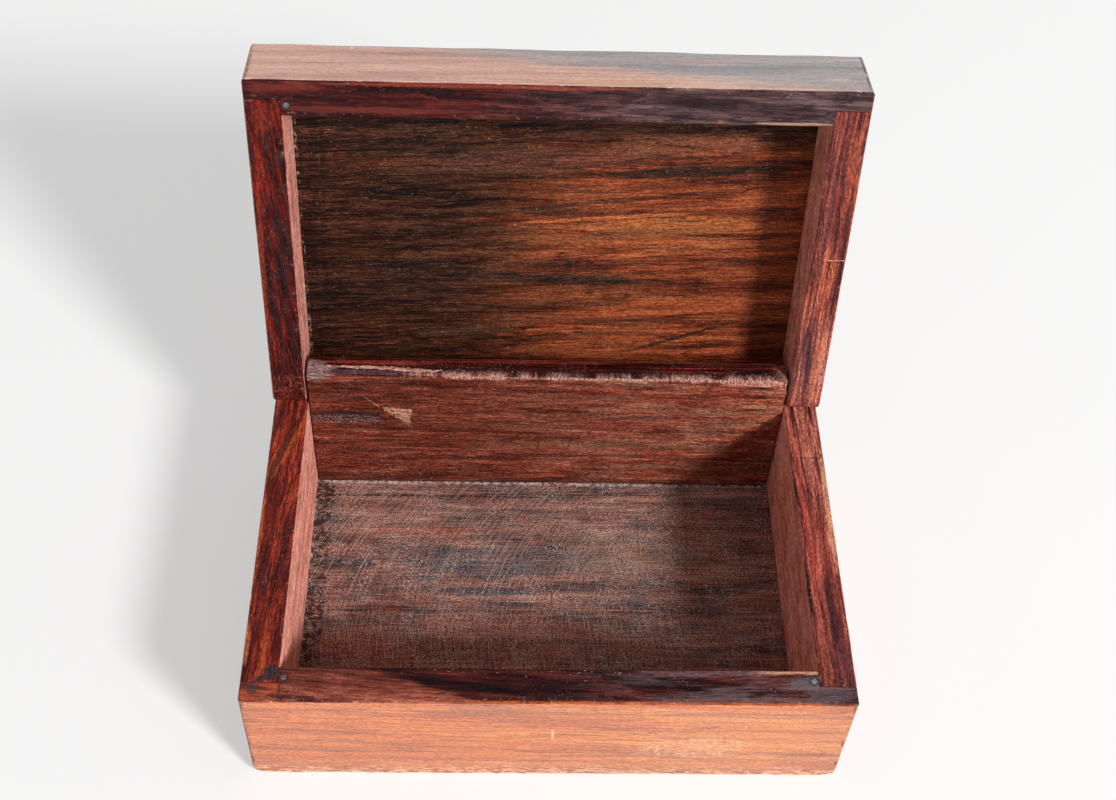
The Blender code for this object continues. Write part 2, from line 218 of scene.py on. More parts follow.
def sections(corners, insets, radii, spans):
    """Rounded outlines for all rings at once. Between arcs the points lie at (1 - cos a) / 2 of the way.
    The share in an edge goes from one edge to the next over an arc. The nearness to an arris is
    exp(-(distance / RUB)^2)."""
    arcs, around, begin, end, sticks_out = arcs_of(corners, insets, radii)
    out, beyond = edges_of(np.asarray(corners, float))[1], np.roll(begin, -1, 1)
    keen = (sticks_out & (radii[0] < KEEN)).astype(float)
    fade = np.linspace(0, 1, ARC_STEPS + 1)
    points, normals, shares, nearness = [], [], [], []
    for i, span in enumerate(spans):
        t = (1 - np.cos(np.pi * np.arange(1, span) / span))[:, None] / 2
        points += [arcs[:, i], end[:, i, None] * (1 - t) + beyond[:, i, None] * t]
        normals += [around[i], np.repeat(out[i : i + 1], span - 1, 0)]
        share = np.zeros((ARC_STEPS + span, len(spans)))
        share[: ARC_STEPS + 1, i - 1] = 1 - fade
        share[: ARC_STEPS + 1, i] += fade
        share[ARC_STEPS + 1 :, i] = 1
        shares.append(share)
        way = t[:, 0] * np.linalg.norm(beyond[0, i] - end[0, i]) / RUB
        fall = np.exp(-(way**2))
        near = np.maximum(fall * keen[i], fall[::-1] * keen[(i + 1) % len(spans)])
        nearness += [np.full(ARC_STEPS + 1, keen[i]), near]
    parts = (points, 1), (normals, 0), (shares, 0), (nearness, 0)
    return (np.concatenate(part, axis) for part, axis in parts)


outline, *_ = sections(square, np.zeros((1, 4)), np.ones((1, 4)), [4] * 4)
print("a test square has", outline.shape[1], "points around")

# %% [markdown]
# Carrying the section along
#
# The rings of sections are joined into a skin. At both ends the rings shrink on a quarter circle, so the
# end arrises are round too, and one last ring and a flat face close each end. Every vertex also keeps how
# near it is to an arris, as an attribute, because rubbed edges need another colour than the faces.

# %% Skin of a board
END_STEPS = 4
CAP_INSET = 0.6
LEAST_RADIUS = 0.03


def end_rings(insets, radii, end_radii):
    """Rings on a quarter circle, from the full section to the end: inset = r (1 - cos a), and the distance
    from the end = r (1 - sin a). A last ring lies flat on the end, a little further in."""
    angle = np.linspace(0, np.pi / 2, END_STEPS + 1)[:, None]
    more = np.vstack([end_radii * (1 - np.cos(angle)), end_radii + CAP_INSET])
    away = np.append(1 - np.sin(angle[:, 0]), 0)
    rounder = np.maximum(more, np.roll(more, 1, 1))
    return insets + more, np.maximum(radii - rounder, LEAST_RADIUS), away


def skin(corners, spans, stations, insets, radii, starts, ends):
    """The whole surface as an array (rings, points around, 3), with its normals and its nearness to an
    arris. Section coordinates come first and the distance along the board last. On an end ring a normal
    leans by 1 - sin a towards the end."""
    first_in, first_r, away = end_rings(insets[0], radii[0], starts)
    last_in, last_r, _ = end_rings(insets[-1], radii[-1], ends)
    middle = slice(1, -1)
    all_in = np.vstack([first_in[::-1], insets[middle], last_in])
    all_r = np.vstack([first_r[::-1], radii[middle], last_r])
    flat, normals, shares, near = sections(corners, all_in, all_r, spans)
    low = stations[0] + away[::-1, None] * (shares @ starts)
    high = stations[-1] - away[:, None] * (shares @ ends)
    inner = np.repeat(stations[middle, None], flat.shape[1], 1)
    along = np.vstack([low, inner, high])
    lean = np.concatenate([-(1 - away[::-1]), np.zeros(len(inner)), 1 - away])
    lean[[0, -1]] = -1, 1
    upright = np.sqrt(1 - lean**2)[:, None]
    facing = np.concatenate([normals * upright[..., None], np.repeat(lean[:, None, None], len(near), 1)], -1)
    reach = np.minimum(along - stations[0], stations[-1] - along)
    arris = np.maximum(near * upright, np.exp(-((reach / RUB) ** 2)))
    arris[[0, -1]] = 0
    return np.concatenate([flat, along[..., None]], -1), facing, arris


five_rings = np.linspace(0, 50, 5), np.zeros((5, 4)), np.full((5, 4), 0.5)
test_skin = skin(square, [4] * 4, *five_rings, np.full(4, 0.5), np.full(4, 0.5))[0]
print("a test board's skin has", test_skin.shape[0], "rings of", test_skin.shape[1], "points")

# %% [markdown]
# From arrays to a piece
#
# The skin is turned into the frame's axes, moved along its normals by whatever wear the piece asks for,
# and handed to Blender as quads with one flat face at each end. A lid board is worked out with its rim up,
# as the base is, turned upside down, and then turned open with the lid. If the axes come out mirrored the
# faces would look inwards, so their order is turned round then.

# %% Mesh from a skin
SMOOTH = math.radians(35)
LID, BASE = "lid", "base"


def attribute(mesh, name, values):
    """One number for each vertex, which a material can read by its name."""
    layer = mesh.attributes.new(name, "FLOAT", "POINT")
    layer.data.foreach_set("value", np.ascontiguousarray(values, np.float32).ravel())


def piece_from(name, points, faces, attributes, material, body, node):
    """Puts the arrays into a mesh, in metres, and fixes the piece to its body in place of its node."""
    mesh = bpy.data.meshes.new(name)
    mesh.from_pydata((points * MM).tolist(), [], faces)
    for key, values in attributes.items():
        attribute(mesh, key, values)
    mesh.materials.append(material)
    mesh.shade_smooth()
    mesh.set_sharp_from_angle(angle=SMOOTH)
    made = bpy.data.objects.new(name, mesh)
    bpy.context.scene.collection.objects.link(made)
    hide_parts(node)
    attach(made, body)
    print(name, len(points), "vertices")


def quads_between(rings, around):
    """Quads between neighbouring rings, closed around. Point j of ring i is number i * around + j."""
    ring, spot = np.meshgrid(np.arange(rings - 1), np.arange(around), indexing="ij")
    after = (spot + 1) % around
    low, high = ring * around, (ring + 1) * around
    return np.stack([low + spot, low + after, high + after, high + spot], -1).reshape(-1, 4)


def grid_faces(rings, around, turned):
    """The quads, and one face over each end."""
    first, last = np.arange(around)[::-1], (rings - 1) * around + np.arange(around)
    faces = [quads_between(rings, around), first[None], last[None]]
    return [row[::-1] if turned else row for part in faces for row in part.tolist()]


def board(name, node, body, material, axes, section, wear, mirrored=False):
    """A board in the place of a CAD node. axes names what the section's two numbers and the length mean,
    such as yzx. wear(points, facing, arris) gives how far the skin moves along its normals, in
    millimetres, and how bare the wood is there."""
    points, facing, arris = skin(*section)
    order = ["xyz".index(letter) for letter in axes]
    placed, normal = np.empty_like(points), np.empty_like(facing)
    placed[..., order], normal[..., order] = points, facing
    signs = np.array([-1 if mirrored else 1, 1, -1 if body == LID else 1])
    placed, normal = placed * signs, normal * signs
    turned = ((order[1] - order[0]) % 3 != 1) != (np.prod(signs) < 0)
    depth, bare = wear(placed, normal, arris)
    placed = placed + normal * depth[..., None]
    if body == LID:
        placed = opened(placed)
    faces = grid_faces(*placed.shape[:2], turned)
    attributes = {"arris": arris, "bare": bare}
    piece_from(name, placed.reshape(-1, 3), faces, attributes, material, body, node)


print("a test board has", len(grid_faces(*test_skin.shape[:2], False)), "faces")

# %% [markdown]
# Nodes a line at a time
#
# All finishes are procedural. Nodes could be placed and linked one by one, but a board's finish needs
# hundreds. A small class keeps the tree and returns sockets, so a material reads like a recipe.
# Coordinates are the piece's own, in millimetres. For a lid piece a Mapping node of the Texture kind takes
# the hinge line off and turns the lid shut, so grain runs straight along its boards.

# %% A material builder
class Nodes:
    """A material under construction. Every method adds nodes and returns an output socket."""

    def __init__(self, name, body=BASE):
        self.material = bpy.data.materials.new(name)
        self.material.use_nodes = True
        self.tree = self.material.node_tree
        self.shader = self.tree.nodes["Principled BSDF"]
        own = self.add("TexCoord", {}, "Object")
        turn, move = ((-OPEN_ANGLE, 0, 0), HINGE_LINE * MM) if body == LID else ((0, 0, 0), (0, 0, 0))
        self.spot = self.mapped(own, (MM, MM, MM), turn, move)

    def add(self, kind, inputs, output=0, **settings):
        """A node of a kind, with its inputs fed. Gives one of its sockets."""
        made = self.tree.nodes.new("ShaderNode" + kind)
        for key, value in settings.items():
            setattr(made, key, value)
        for key, value in inputs.items():
            self.feed(made.inputs[key], value)
        return made.outputs[output]

    def feed(self, socket, value):
        """Links a socket, or sets a plain value. A colour gets its alpha."""
        if isinstance(value, bpy.types.NodeSocket):
            self.tree.links.new(value, socket)
        elif socket.type == "RGBA" and len(value) == 3:
            socket.default_value = (*value, 1)
        else:
            socket.default_value = value

    def mapped(self, vector, size, turn=(0, 0, 0), at=(0, 0, 0)):
        """Centred on a point, turned, and measured in units of size."""
        inputs = {"Vector": vector, "Location": at, "Rotation": turn, "Scale": size}
        return self.add("Mapping", inputs, vector_type="TEXTURE")

    def noise(self, size, detail=4.0, roughness=0.55, turn=(0, 0, 0), at=(0, 0, 0), source=None, output=0):
        """Noise whose cells measure size millimetres."""
        vector = self.mapped(source or self.spot, size, turn, at)
        inputs = {"Vector": vector, "Scale": 1.0, "Detail": detail, "Roughness": roughness}
        return self.add("TexNoise", inputs, output)

    def mask(self, value, low, high, to_low=0.0, to_high=1.0):
        """A smooth step from to_low to to_high."""
        inputs = {"Value": value, "From Min": low, "From Max": high, "To Min": to_low, "To Max": to_high}
        return self.add("MapRange", inputs, interpolation_type="SMOOTHSTEP")

    def math(self, operation, first, second=0.0):
        """One operation on one or two values."""
        return self.add("Math", {0: first, 1: second}, operation=operation)

    def times_plus(self, value, factor, plus):
        """value * factor + plus."""
        return self.add("Math", {0: value, 1: factor, 2: plus}, operation="MULTIPLY_ADD")

    def mix(self, first, second, factor):
        """The first colour at 0, the second at 1."""
        inputs = {0: factor, 6: first, 7: second}
        return self.add("Mix", inputs, 2, data_type="RGBA")

    def tones(self, value, *stops):
        """A colour ramp through (position, colour) stops."""
        output = self.add("ValToRGB", {"Fac": value})
        ramp = output.node.color_ramp
        while len(ramp.elements) < len(stops):
            ramp.elements.new(0.5)
        for element, (position, colour) in zip(ramp.elements, stops):
            element.position = position
            element.color = (*colour, 1)
        return output

    def shade(self, colour, factor):
        """The colour times a factor."""
        return self.add("VectorMath", {"Vector": colour, "Scale": factor}, operation="SCALE")


print("the builder can", ", ".join(name for name in vars(Nodes) if not name.startswith("_")))

# %% [markdown]
# Places on a piece
#
# A stain or a worn corner sits at a place, so a finish also needs plain distances: along one axis, or from
# a point. Noise pushes them about, because no border in wood is straight.

# %% Places, patches and the last links
class Finish(Nodes):
    """Adds what depends on the place, and the links to the shader."""

    def own(self, name):
        """An attribute that the mesh carries, such as arris."""
        return self.add("Attribute", {}, "Fac", attribute_name=name)

    def axis(self, letter):
        """One coordinate of the spot, in millimetres."""
        return self.add("SeparateXYZ", {"Vector": self.spot}, letter.upper())

    def fade(self, letter, low, high, to_low=0.0, to_high=1.0):
        """A smooth step along one axis."""
        return self.mask(self.axis(letter), low, high, to_low, to_high)

    def dot(self, vector, direction):
        """How far a vector reaches in a direction."""
        return self.add("VectorMath", {0: vector, 1: direction}, "Value", operation="DOT_PRODUCT")

    def wandering(self, size, amount):
        """The spot pushed about by up to amount millimetres along each axis."""
        push = self.noise(size, detail=2.0, output=1)
        centred = self.add("VectorMath", {0: push, 1: (0.5, 0.5, 0.5)}, operation="SUBTRACT")
        grown = self.add("VectorMath", {0: centred, 1: amount}, operation="MULTIPLY")
        return self.add("VectorMath", {0: self.spot, 1: grown}, operation="ADD")

    def patch(self, at, half, turn=(0, 0, 0), ragged=0.5, soft=0.5, grain=(9, 1.2, 1.2)):
        """A ragged oval patch: 1 inside, 0 outside, drawn out along the grain."""
        inside = self.mapped(self.spot, half, turn, at)
        length = self.add("VectorMath", {0: inside}, "Value", operation="LENGTH")
        torn = self.noise(grain, detail=3.0, turn=turn)
        edge = self.times_plus(torn, ragged * 2, length)
        return self.mask(edge, 1 + ragged + soft / 2, 1 + ragged - soft / 2)

    def done(self, colour, roughness, height):
        """Links the last sockets. The height is in millimetres."""
        self.feed(self.shader.inputs["Base Color"], colour)
        self.feed(self.shader.inputs["Roughness"], roughness)
        bump = self.add("Bump", {"Height": height, "Distance": MM, "Strength": 1.0})
        self.feed(self.shader.inputs["Normal"], bump)
        print(self.material.name, "has", len(self.tree.nodes), "nodes")
        return self.material


print("a finish can also", ", ".join(name for name in vars(Finish) if not name.startswith("_")))

# %% [markdown]
# Rosewood
#
# Rosewood has a red-brown ground, long streaks from orange to purple-black, fine fibres, and open pores
# that show as short dark dashes. All follow the grain, so each layer is noise stretched along it. The
# broad layer picks colours from a ramp, the finer ones darken or lighten it, and the arrises, where the
# wax and the dark skin are rubbed off, show a paler bare wood.

# %% Layers along the grain
ALONG_X = (1, 0, 0)
ALONG_Y = (0, 1, 0)
RIGHT, LEFT = ALONG_X, (-1, 0, 0)
BACK, FRONT = ALONG_Y, (0, -1, 0)
UP, DOWN = (0, 0, 1), (0, 0, -1)
DULL_SHEEN = 0.1


def drawn(long, fine, along):
    """Sizes of a streak: long in the grain's direction and fine across it."""
    return tuple(long if part else fine for part in along)


class Grain(Finish):
    """A finish whose layers share one wandering grain. turn tilts the grain, in radians."""

    def __init__(self, name, body, along, turn=(0, 0, 0), wander=3.0, reach=60):
        super().__init__(name, body)
        self.along, self.turn = along, turn
        amount = tuple(0 if part else wander for part in along)
        self.path = self.wandering(drawn(reach, reach / 4, along), amount)
        self.shader.inputs["Specular IOR Level"].default_value = DULL_SHEEN

    def streaks(self, long, fine, detail=8.0, roughness=0.68, at=(0, 0, 0), turn=None):
        """Noise drawn out along the wandering grain."""
        size = drawn(long, fine, self.along)
        return self.noise(size, detail, roughness, turn or self.turn, at, self.path)

    def figured(self, broad, fine, share=0.5, at=(0, 0, 0), turn=None):
        """Soft bands and fine lines in one value: bands (1 - share) + lines share, then spread out about
        the middle, so that the ramps keep their contrast."""
        bands = self.streaks(*broad, 5.0, 0.55, (at[0] + 7, at[1] + 3, at[2] + 4), turn)
        lines = self.streaks(*fine, 7.0, 0.74, at, turn)
        blend = self.add("Mix", {0: share, 2: bands, 3: lines}, data_type="FLOAT")
        spread = 1 / math.hypot(share, 1 - share)
        return self.times_plus(blend, spread, 0.5 * (1 - spread))

    def hairs(self, noise, width):
        """Thin lines along which a noise passes through its middle value."""
        away = self.math("ABSOLUTE", self.math("SUBTRACT", noise, 0.5))
        return self.mask(away, width, width * 0.3)

    def zone(self, direction, offset, soft, ragged=0.0, size=(6, 6, 6)):
        """1 where direction . spot is beyond offset, with a soft edge that noise makes ragged."""
        reach = self.dot(self.spot, direction)
        if ragged:
            push = self.noise(size, 3.0, 0.6, at=(1, 2, 3))
            reach = self.times_plus(push, 2 * ragged, reach)
        return self.mask(reach, offset + ragged - soft, offset + ragged + soft)

    def both(self, first, second):
        """Where two masks overlap."""
        return self.math("MULTIPLY", first, second)

    def stain(self, colour, mask, tone, strength=1.0):
        """Lays a tone over the colour, as thick as mask and strength say."""
        return self.mix(colour, tone, self.math("MULTIPLY", mask, strength))

    def stains(self, colour, rows, grain, ragged=0.7):
        """Patches from rows of place, half sizes, turn about Z, tone and strength."""
        for at, half, turn, tone, strength in rows:
            spot = self.patch(at, half, (0, 0, turn), ragged=ragged, grain=grain)
            colour = self.stain(colour, spot, tone, strength)
        return colour

    def swing(self, colour, noise, amount, low=0.34, high=0.66):
        """Darker or lighter by up to amount, as the noise says."""
        return self.shade(colour, self.mask(noise, low, high, 1 - amount, 1 + amount))


print("streak sizes along X:", drawn(16, 0.45, ALONG_X))

# %% [markdown]
# Fibres, pores, rubbed edges and dust
#
# Close up, rosewood is made of short fibres and open pores, and an old box has bare wood on its arrises and
# dust in its corners. These layers are the same on every board, so they come last and only their strengths
# differ. The fibres also give the height for the bump.

# %% What every rosewood board shares
BARE = (0.72, 0.42, 0.27)
DUST = (0.62, 0.52, 0.48)


class Rosewood(Grain):
    """Adds the small layers that make the wood old."""

    def fibres(self, colour, strength=0.35, long=9, fine=0.3, fleck=0.25, pores=0.5):
        """Short rough fibres, flecks and dark pores. Gives the colour and the height in millimetres."""
        lines = self.streaks(long, fine, 6.0, 0.75)
        colour = self.swing(colour, lines, strength, 0.38, 0.62)
        flecks = self.streaks(1.1, 0.42, 3.0, 0.75, at=(7, 1, 3))
        colour = self.swing(colour, flecks, fleck, 0.4, 0.6)
        specks = self.streaks(2.2, 0.17, 2.0, 0.5, at=(3, 5, 7))
        colour = self.shade(colour, self.mask(specks, 0.58, 0.68, 1, 1 - pores))
        pit = self.mask(specks, 0.58, 0.7, 0, 0.04)
        small = self.math("MULTIPLY", flecks, 0.03)
        relief = self.times_plus(lines, 0.06, small)
        return colour, self.math("SUBTRACT", relief, pit)

    def rubbed(self, colour, tone=BARE, amount=0.7, size=0.7, low=0.62, high=0.68):
        """Bare wood in small spots along the arrises, and where fibres are torn."""
        uneven = self.noise((1.6 * size, size, size), 4.0, 0.7, at=(11, 2, 5))
        keen = self.mask(self.own("arris"), 0.55, 0.95)
        edge = self.both(keen, self.mask(uneven, low, high, 0, amount))
        return self.mix(colour, tone, self.math("MAXIMUM", edge, self.own("bare")))

    def dusted(self, colour, low=0.7, high=0.76, size=0.38, tone=DUST, strength=0.6):
        """Pale specks that gather in places."""
        specks = self.noise((size, size, size), 1.0, 0.5, at=(9, 4, 1))
        gathered = self.mask(self.noise((9, 9, 9), 2.0, 0.6, at=(4, 4, 4)), 0.42, 0.58)
        return self.stain(colour, self.both(self.mask(specks, low, high), gathered), tone, strength)

    def waxed(self, colour, height, figure, low=0.4, high=0.58):
        """Streaks differ a little in gloss, and rubbed wood is dull."""
        gloss = self.mask(figure, 0.35, 0.65, low, high)
        dull = self.times_plus(self.own("bare"), 0.3, gloss)
        return self.done(colour, dull, height)


print("every board also gets", ", ".join(name for name in vars(Rosewood) if not name.startswith("_")))

# %% [markdown]
# Faces that boards share
#
# A board's faces don't look the same: the outside is worn, the inside is pale salmon, partly its own tone and
# partly painted sheen, and a sawn end shows its fibres as dots. Several materials on a board would be one
# way, but the figure has to run on over the arris. So each board has one material, and masks on its
# coordinates tell the faces apart. In all recipes f stands for the finish in the making.

# %% Outside, inside, sawn ends, and stains around pins
def outside_tones(f, figure):
    """The worn outside that no photograph shows: mid brown and salmon."""
    return f.tones(
        figure, (0.34, (0.13, 0.045, 0.032)), (0.45, (0.34, 0.12, 0.072)), (0.56, (0.5, 0.19, 0.11)),
        (0.68, (0.62, 0.27, 0.155)),
    )


def inward(f, face, front):
    """1 on the side faces that look into the box: |x| hardly larger than at the face, and y behind the
    front board, because the lap is glued."""
    inside = f.mask(f.math("ABSOLUTE", f.axis("x")), face + 0.14, face + 0.02)
    return f.both(inside, f.zone(BACK, front, 0.15))


def outward(f, edge):
    """1 on the faces that look out to the left and right."""
    return f.mask(f.math("ABSOLUTE", f.axis("x")), edge - 0.35, edge - 0.15)


def inner_tones_and_sheen(f, figure, strength=1.0):
    """Inside faces: salmon, partly own tone, partly painted sheen, with darker and paler fibres and some
    dirt.
    """
    # Painted sheen: the upper stops are paler than the wood itself, standing for light glancing along these
    # faces
    tones = f.tones(
        figure, (0.33, (0.42, 0.12, 0.09)), (0.43, (0.76, 0.26, 0.19)), (0.53, (0.96, 0.4, 0.31)),
        (0.67, (1.0, 0.62, 0.5)),
    )
    dirt = f.mask(f.noise((5, 5, 7), 4.0, 0.6, at=(8, 1, 8)), 0.52, 0.68)
    return f.shade(f.stain(tones, dirt, (0.34, 0.12, 0.09), 0.5), strength)


def end_grain(f, through=ALONG_Y):
    """Sawn across, the fibres show as dots and the rings as faint curved bands."""
    dots = f.noise(drawn(2, 0.28, through), 3.0, 0.7, at=(1, 5, 2))
    rings = f.noise(drawn(9, 2.4, through), 3.0, 0.5, turn=(0.3, 0.5, 0), at=(4, 2, 7))
    tones = f.tones(
        rings, (0.38, (0.11, 0.034, 0.024)), (0.52, (0.2, 0.066, 0.044)), (0.66, (0.29, 0.11, 0.072)),
    )
    return f.swing(tones, dots, 0.6, 0.4, 0.6)


def pin_rings(f, colour, x, y, z):
    """The wood around a driven pin is crushed and stained black by the iron."""
    for sign in (-1, 1):
        ring = f.patch((sign * x, y, z), (1.2, 1.2, 3), ragged=0.35, soft=0.9, grain=(0.6, 0.6, 0.6))
        colour = f.stain(colour, ring, (0.03, 0.018, 0.018), 0.7)
    return colour


print("a sawn end's dots measure", drawn(2, 0.28, ALONG_Y), "mm")

# %% [markdown]
# The base's front, salmon face and dark rim
#
# The maker took the boards from different places of the plank, so no two look alike. The base's front is
# worn to salmon and orange with thin mauve lines, and its rim is almost black to the right of an oblique
# line. Where a streak or stain sits is part of a board's character, so a few are placed by their own
# coordinates, and noise draws the rest.

# %% Face of the base's front
def base_front_face(f, figure):
    """Salmon and orange bands, mauve lines, a field of crumbs, and the grimy torn foot."""
    face = f.tones(
        figure, (0.33, (0.4, 0.17, 0.122)), (0.43, (0.57, 0.21, 0.126)), (0.51, (0.67, 0.245, 0.13)),
        (0.6, (0.75, 0.295, 0.15)), (0.7, (0.84, 0.42, 0.25)),
    )
    broad = f.streaks(60, 4.5, 4.0, 0.55, at=(5, 1, 2))
    face = f.stain(face, f.mask(broad, 0.52, 0.66), (0.8, 0.3, 0.125), 0.5)
    face = f.stain(face, f.fade("x", 0, -60), (0.72, 0.25, 0.14), 0.35)
    right = f.zone(RIGHT, 15, 30, 20, (30, 6, 3))
    face = f.stain(face, f.both(right, f.mask(broad, 0.42, 0.55)), (0.77, 0.345, 0.175), 0.5)
    mauve = f.streaks(70, 2.6, 5.0, 0.6, at=(2, 8, 4))
    face = f.stain(face, f.mask(mauve, 0.51, 0.66), (0.36, 0.185, 0.15), 0.6)
    veins = f.hairs(f.streaks(90, 3.0, 3.0, 0.5, at=(9, 9, 4)), 0.022)
    face = f.stain(face, veins, (0.32, 0.15, 0.125), 0.55)
    crumbs = f.streaks(1.3, 0.28, 3.0, 0.6, at=(4, 4, 8))
    field = f.patch((37, -50.5, 16), (13, 4, 5), ragged=0.8, grain=(4, 4, 2))
    face = f.stain(face, f.both(field, f.mask(crumbs, 0.5, 0.6)), (0.92, 0.62, 0.42), 0.65)
    low = f.both(f.zone(DOWN, -11, 5, 3, (16, 3, 3)), f.mask(crumbs, 0.54, 0.62))
    face = f.stain(face, low, (0.95, 0.58, 0.36), 0.22)
    grimy = f.zone(DOWN, -7, 4, 3, (16, 3, 3))
    face = f.stain(face, grimy, (0.44, 0.19, 0.135), 0.6)
    strokes = f.streaks(3.2, 0.6, 3.0, 0.65, at=(6, 3, 8), turn=(0, 0.09, 0))
    foot = f.both(f.zone(DOWN, -4.6, 2.6, 1.6, (9, 3, 2)), f.mask(strokes, 0.505, 0.56))
    face = f.stain(face, foot, (0.98, 0.62, 0.38), 0.64)
    shreds = f.both(f.zone(DOWN, -3.2, 2.2, 1.2, (5, 3, 2)), f.mask(strokes, 0.47, 0.42))
    face = f.stain(face, shreds, (0.36, 0.15, 0.11), 0.7)
    nick = f.patch((1, -50.5, 22), (0.35, 2, 2.8), ragged=0.4, grain=(0.8, 2, 1.2))
    return f.stain(face, nick, (0.95, 0.6, 0.38), 0.6)


print("its places lie between", *(corner.round(1).tolist() for corner in box_of("base_front_wall")))

# %% [markdown]
# The front's rim and the whole board
#
# The rim shows the board's thickness, where the dark heart begins: an oblique border runs from the inner
# arris to the outer one. A zone with a ragged edge draws it. Small patches are the ink-like stains around
# the pins and the corner joint.

# %% Stains on the front's rim
# Each row of such a table is a place, half sizes, a turn about Z, a tone and a strength
FRONT_RIM_STAINS = (
    ((-72.9, -47.2, 38), (1.3, 1.8, 2), 0.3, (0.055, 0.04, 0.045), 0.7),
    ((-67.6, -48.9, 38), (1.5, 0.8, 2), 0.0, (0.045, 0.02, 0.018), 0.6),
    ((-66.4, -46.5, 38), (0.4, 4, 2), 0.0, (0.035, 0.014, 0.012), 0.6),
    ((70, -46.5, 38), (7, 3.4, 2), 0.2, (0.16, 0.11, 0.12), 0.45),
    ((64, -44.5, 38), (5, 1.4, 2), 0.1, (0.15, 0.14, 0.15), 0.5),
)
print("stains on the front's rim:", len(FRONT_RIM_STAINS))

# %% Rim of the base's front
def base_front_rim(f):
    """Red-brown on the left, black on the right, with an orange line along the outer arris."""
    figure = f.figured((30, 3.0), (14, 0.5), 0.5, at=(0, 3, 9), turn=(0, 0, -0.07))
    rim = f.tones(
        figure, (0.34, (0.04, 0.008, 0.007)), (0.44, (0.14, 0.03, 0.02)), (0.54, (0.3, 0.068, 0.042)),
        (0.66, (0.52, 0.155, 0.09)),
    )
    dark = f.tones(
        figure, (0.38, (0.005, 0.001, 0.002)), (0.48, (0.026, 0.004, 0.004)), (0.58, (0.088, 0.015, 0.013)),
        (0.7, (0.25, 0.064, 0.052)),
    )
    mottle = f.noise((3.2, 1.2, 3), 5.0, 0.7, at=(5, 2, 5))
    rim = f.stain(rim, f.mask(mottle, 0.5, 0.4), (0.085, 0.02, 0.018), 0.6)
    flecks = f.mask(f.streaks(3.4, 0.9, 4.0, 0.7, at=(1, 8, 5)), 0.54, 0.62)
    rim = f.stain(rim, f.both(flecks, f.fade("y", -45, -49)), (0.5, 0.16, 0.095), 0.5)
    rim = f.mix(rim, dark, f.zone((1, 3.4, 0), -187, 3, 9, (14, 1.6, 4)))
    smoky = f.figured((22, 2.0), (10, 0.5), 0.5, at=(7, 7, 2))
    far = f.both(f.fade("x", -6, 46), f.mask(smoky, 0.44, 0.6))
    rim = f.stain(rim, far, (0.185, 0.11, 0.118), 0.75)
    half = f.fade("x", -12, 20)
    red = f.mask(f.streaks(6, 0.9, 6.0, 0.7, at=(2, 7, 7)), 0.54, 0.62)
    rim = f.stain(rim, f.both(half, red), (0.19, 0.042, 0.034), 0.5)
    black = f.mask(f.streaks(9, 1.4, 6.0, 0.7, at=(8, 1, 7)), 0.54, 0.62)
    rim = f.stain(rim, f.both(half, black), (0.024, 0.014, 0.018), 0.55)
    line = f.both(f.zone(FRONT, 49.75, 0.25, 0.35, (6, 0.5, 2)), f.fade("x", -26, -6))
    line = f.both(line, f.mask(f.streaks(7, 2, 4.0, 0.7, at=(3, 2, 3)), 0.4, 0.52, 0.35, 1))
    rim = f.stain(rim, f.both(line, f.fade("x", 74, 62, 0.3, 1)), (0.6, 0.13, 0.035), 0.85)
    corner = f.both(f.zone(LEFT, 66.3, 0.2), f.mask(figure, 0.4, 0.52))
    rim = f.stain(rim, corner, (0.54, 0.094, 0.036), 0.75)
    rim = f.stains(rim, FRONT_RIM_STAINS, (2.2, 1.0, 1.5), 1.0)
    tan = f.both(f.zone(BACK, -41.7, 0.15, 0.7, (2.4, 0.6, 0.6)), f.zone(RIGHT, 52, 4, 5))
    rim = f.stain(rim, tan, (0.66, 0.33, 0.2), 0.85)
    return pin_rings(f, f.dusted(rim), 65.45, -43.7, 38)


print("the rim is", np.ptp(box_of("base_front_wall"), 0)[1].round(1), "mm wide")

# %% Whole of the base's front
def base_front_finish():
    """Face, rim, inner face and sawn ends on one figure."""
    f = Rosewood("base_front_rosewood", BASE, ALONG_X, turn=(0, 0.035, 0), wander=4.0, reach=100)
    figure = f.figured((75, 5.0), (40, 0.55), 0.45)
    top = f.zone(UP, 37.72, 0.08, 0.12, (3, 3, 3))
    colour = f.mix(base_front_face(f, figure), base_front_rim(f), top)
    inside = f.both(f.zone(BACK, -41.0, 0.1), f.zone(DOWN, -37.5, 0.1))
    colour = f.mix(colour, inner_tones_and_sheen(f, figure), inside)
    colour = f.mix(colour, end_grain(f, ALONG_X), outward(f, 76))
    colour, height = f.fibres(colour, 0.16, 16, 0.26, 0.16, 0.25)
    colour = f.rubbed(colour, (0.9, 0.5, 0.31), 0.5)
    return f.waxed(colour, height, figure, 0.45, 0.6)


front_wood = base_front_finish()

# %% [markdown]
# The base's dark sides
#
# The side boards come from the plank's heart: almost black, with red diagonal streaks on the left rim and
# straight orange ones on the right. They could have a finish each, but they share their fibres, inner faces
# and ends, so one finish picks the tones by the sign of x.

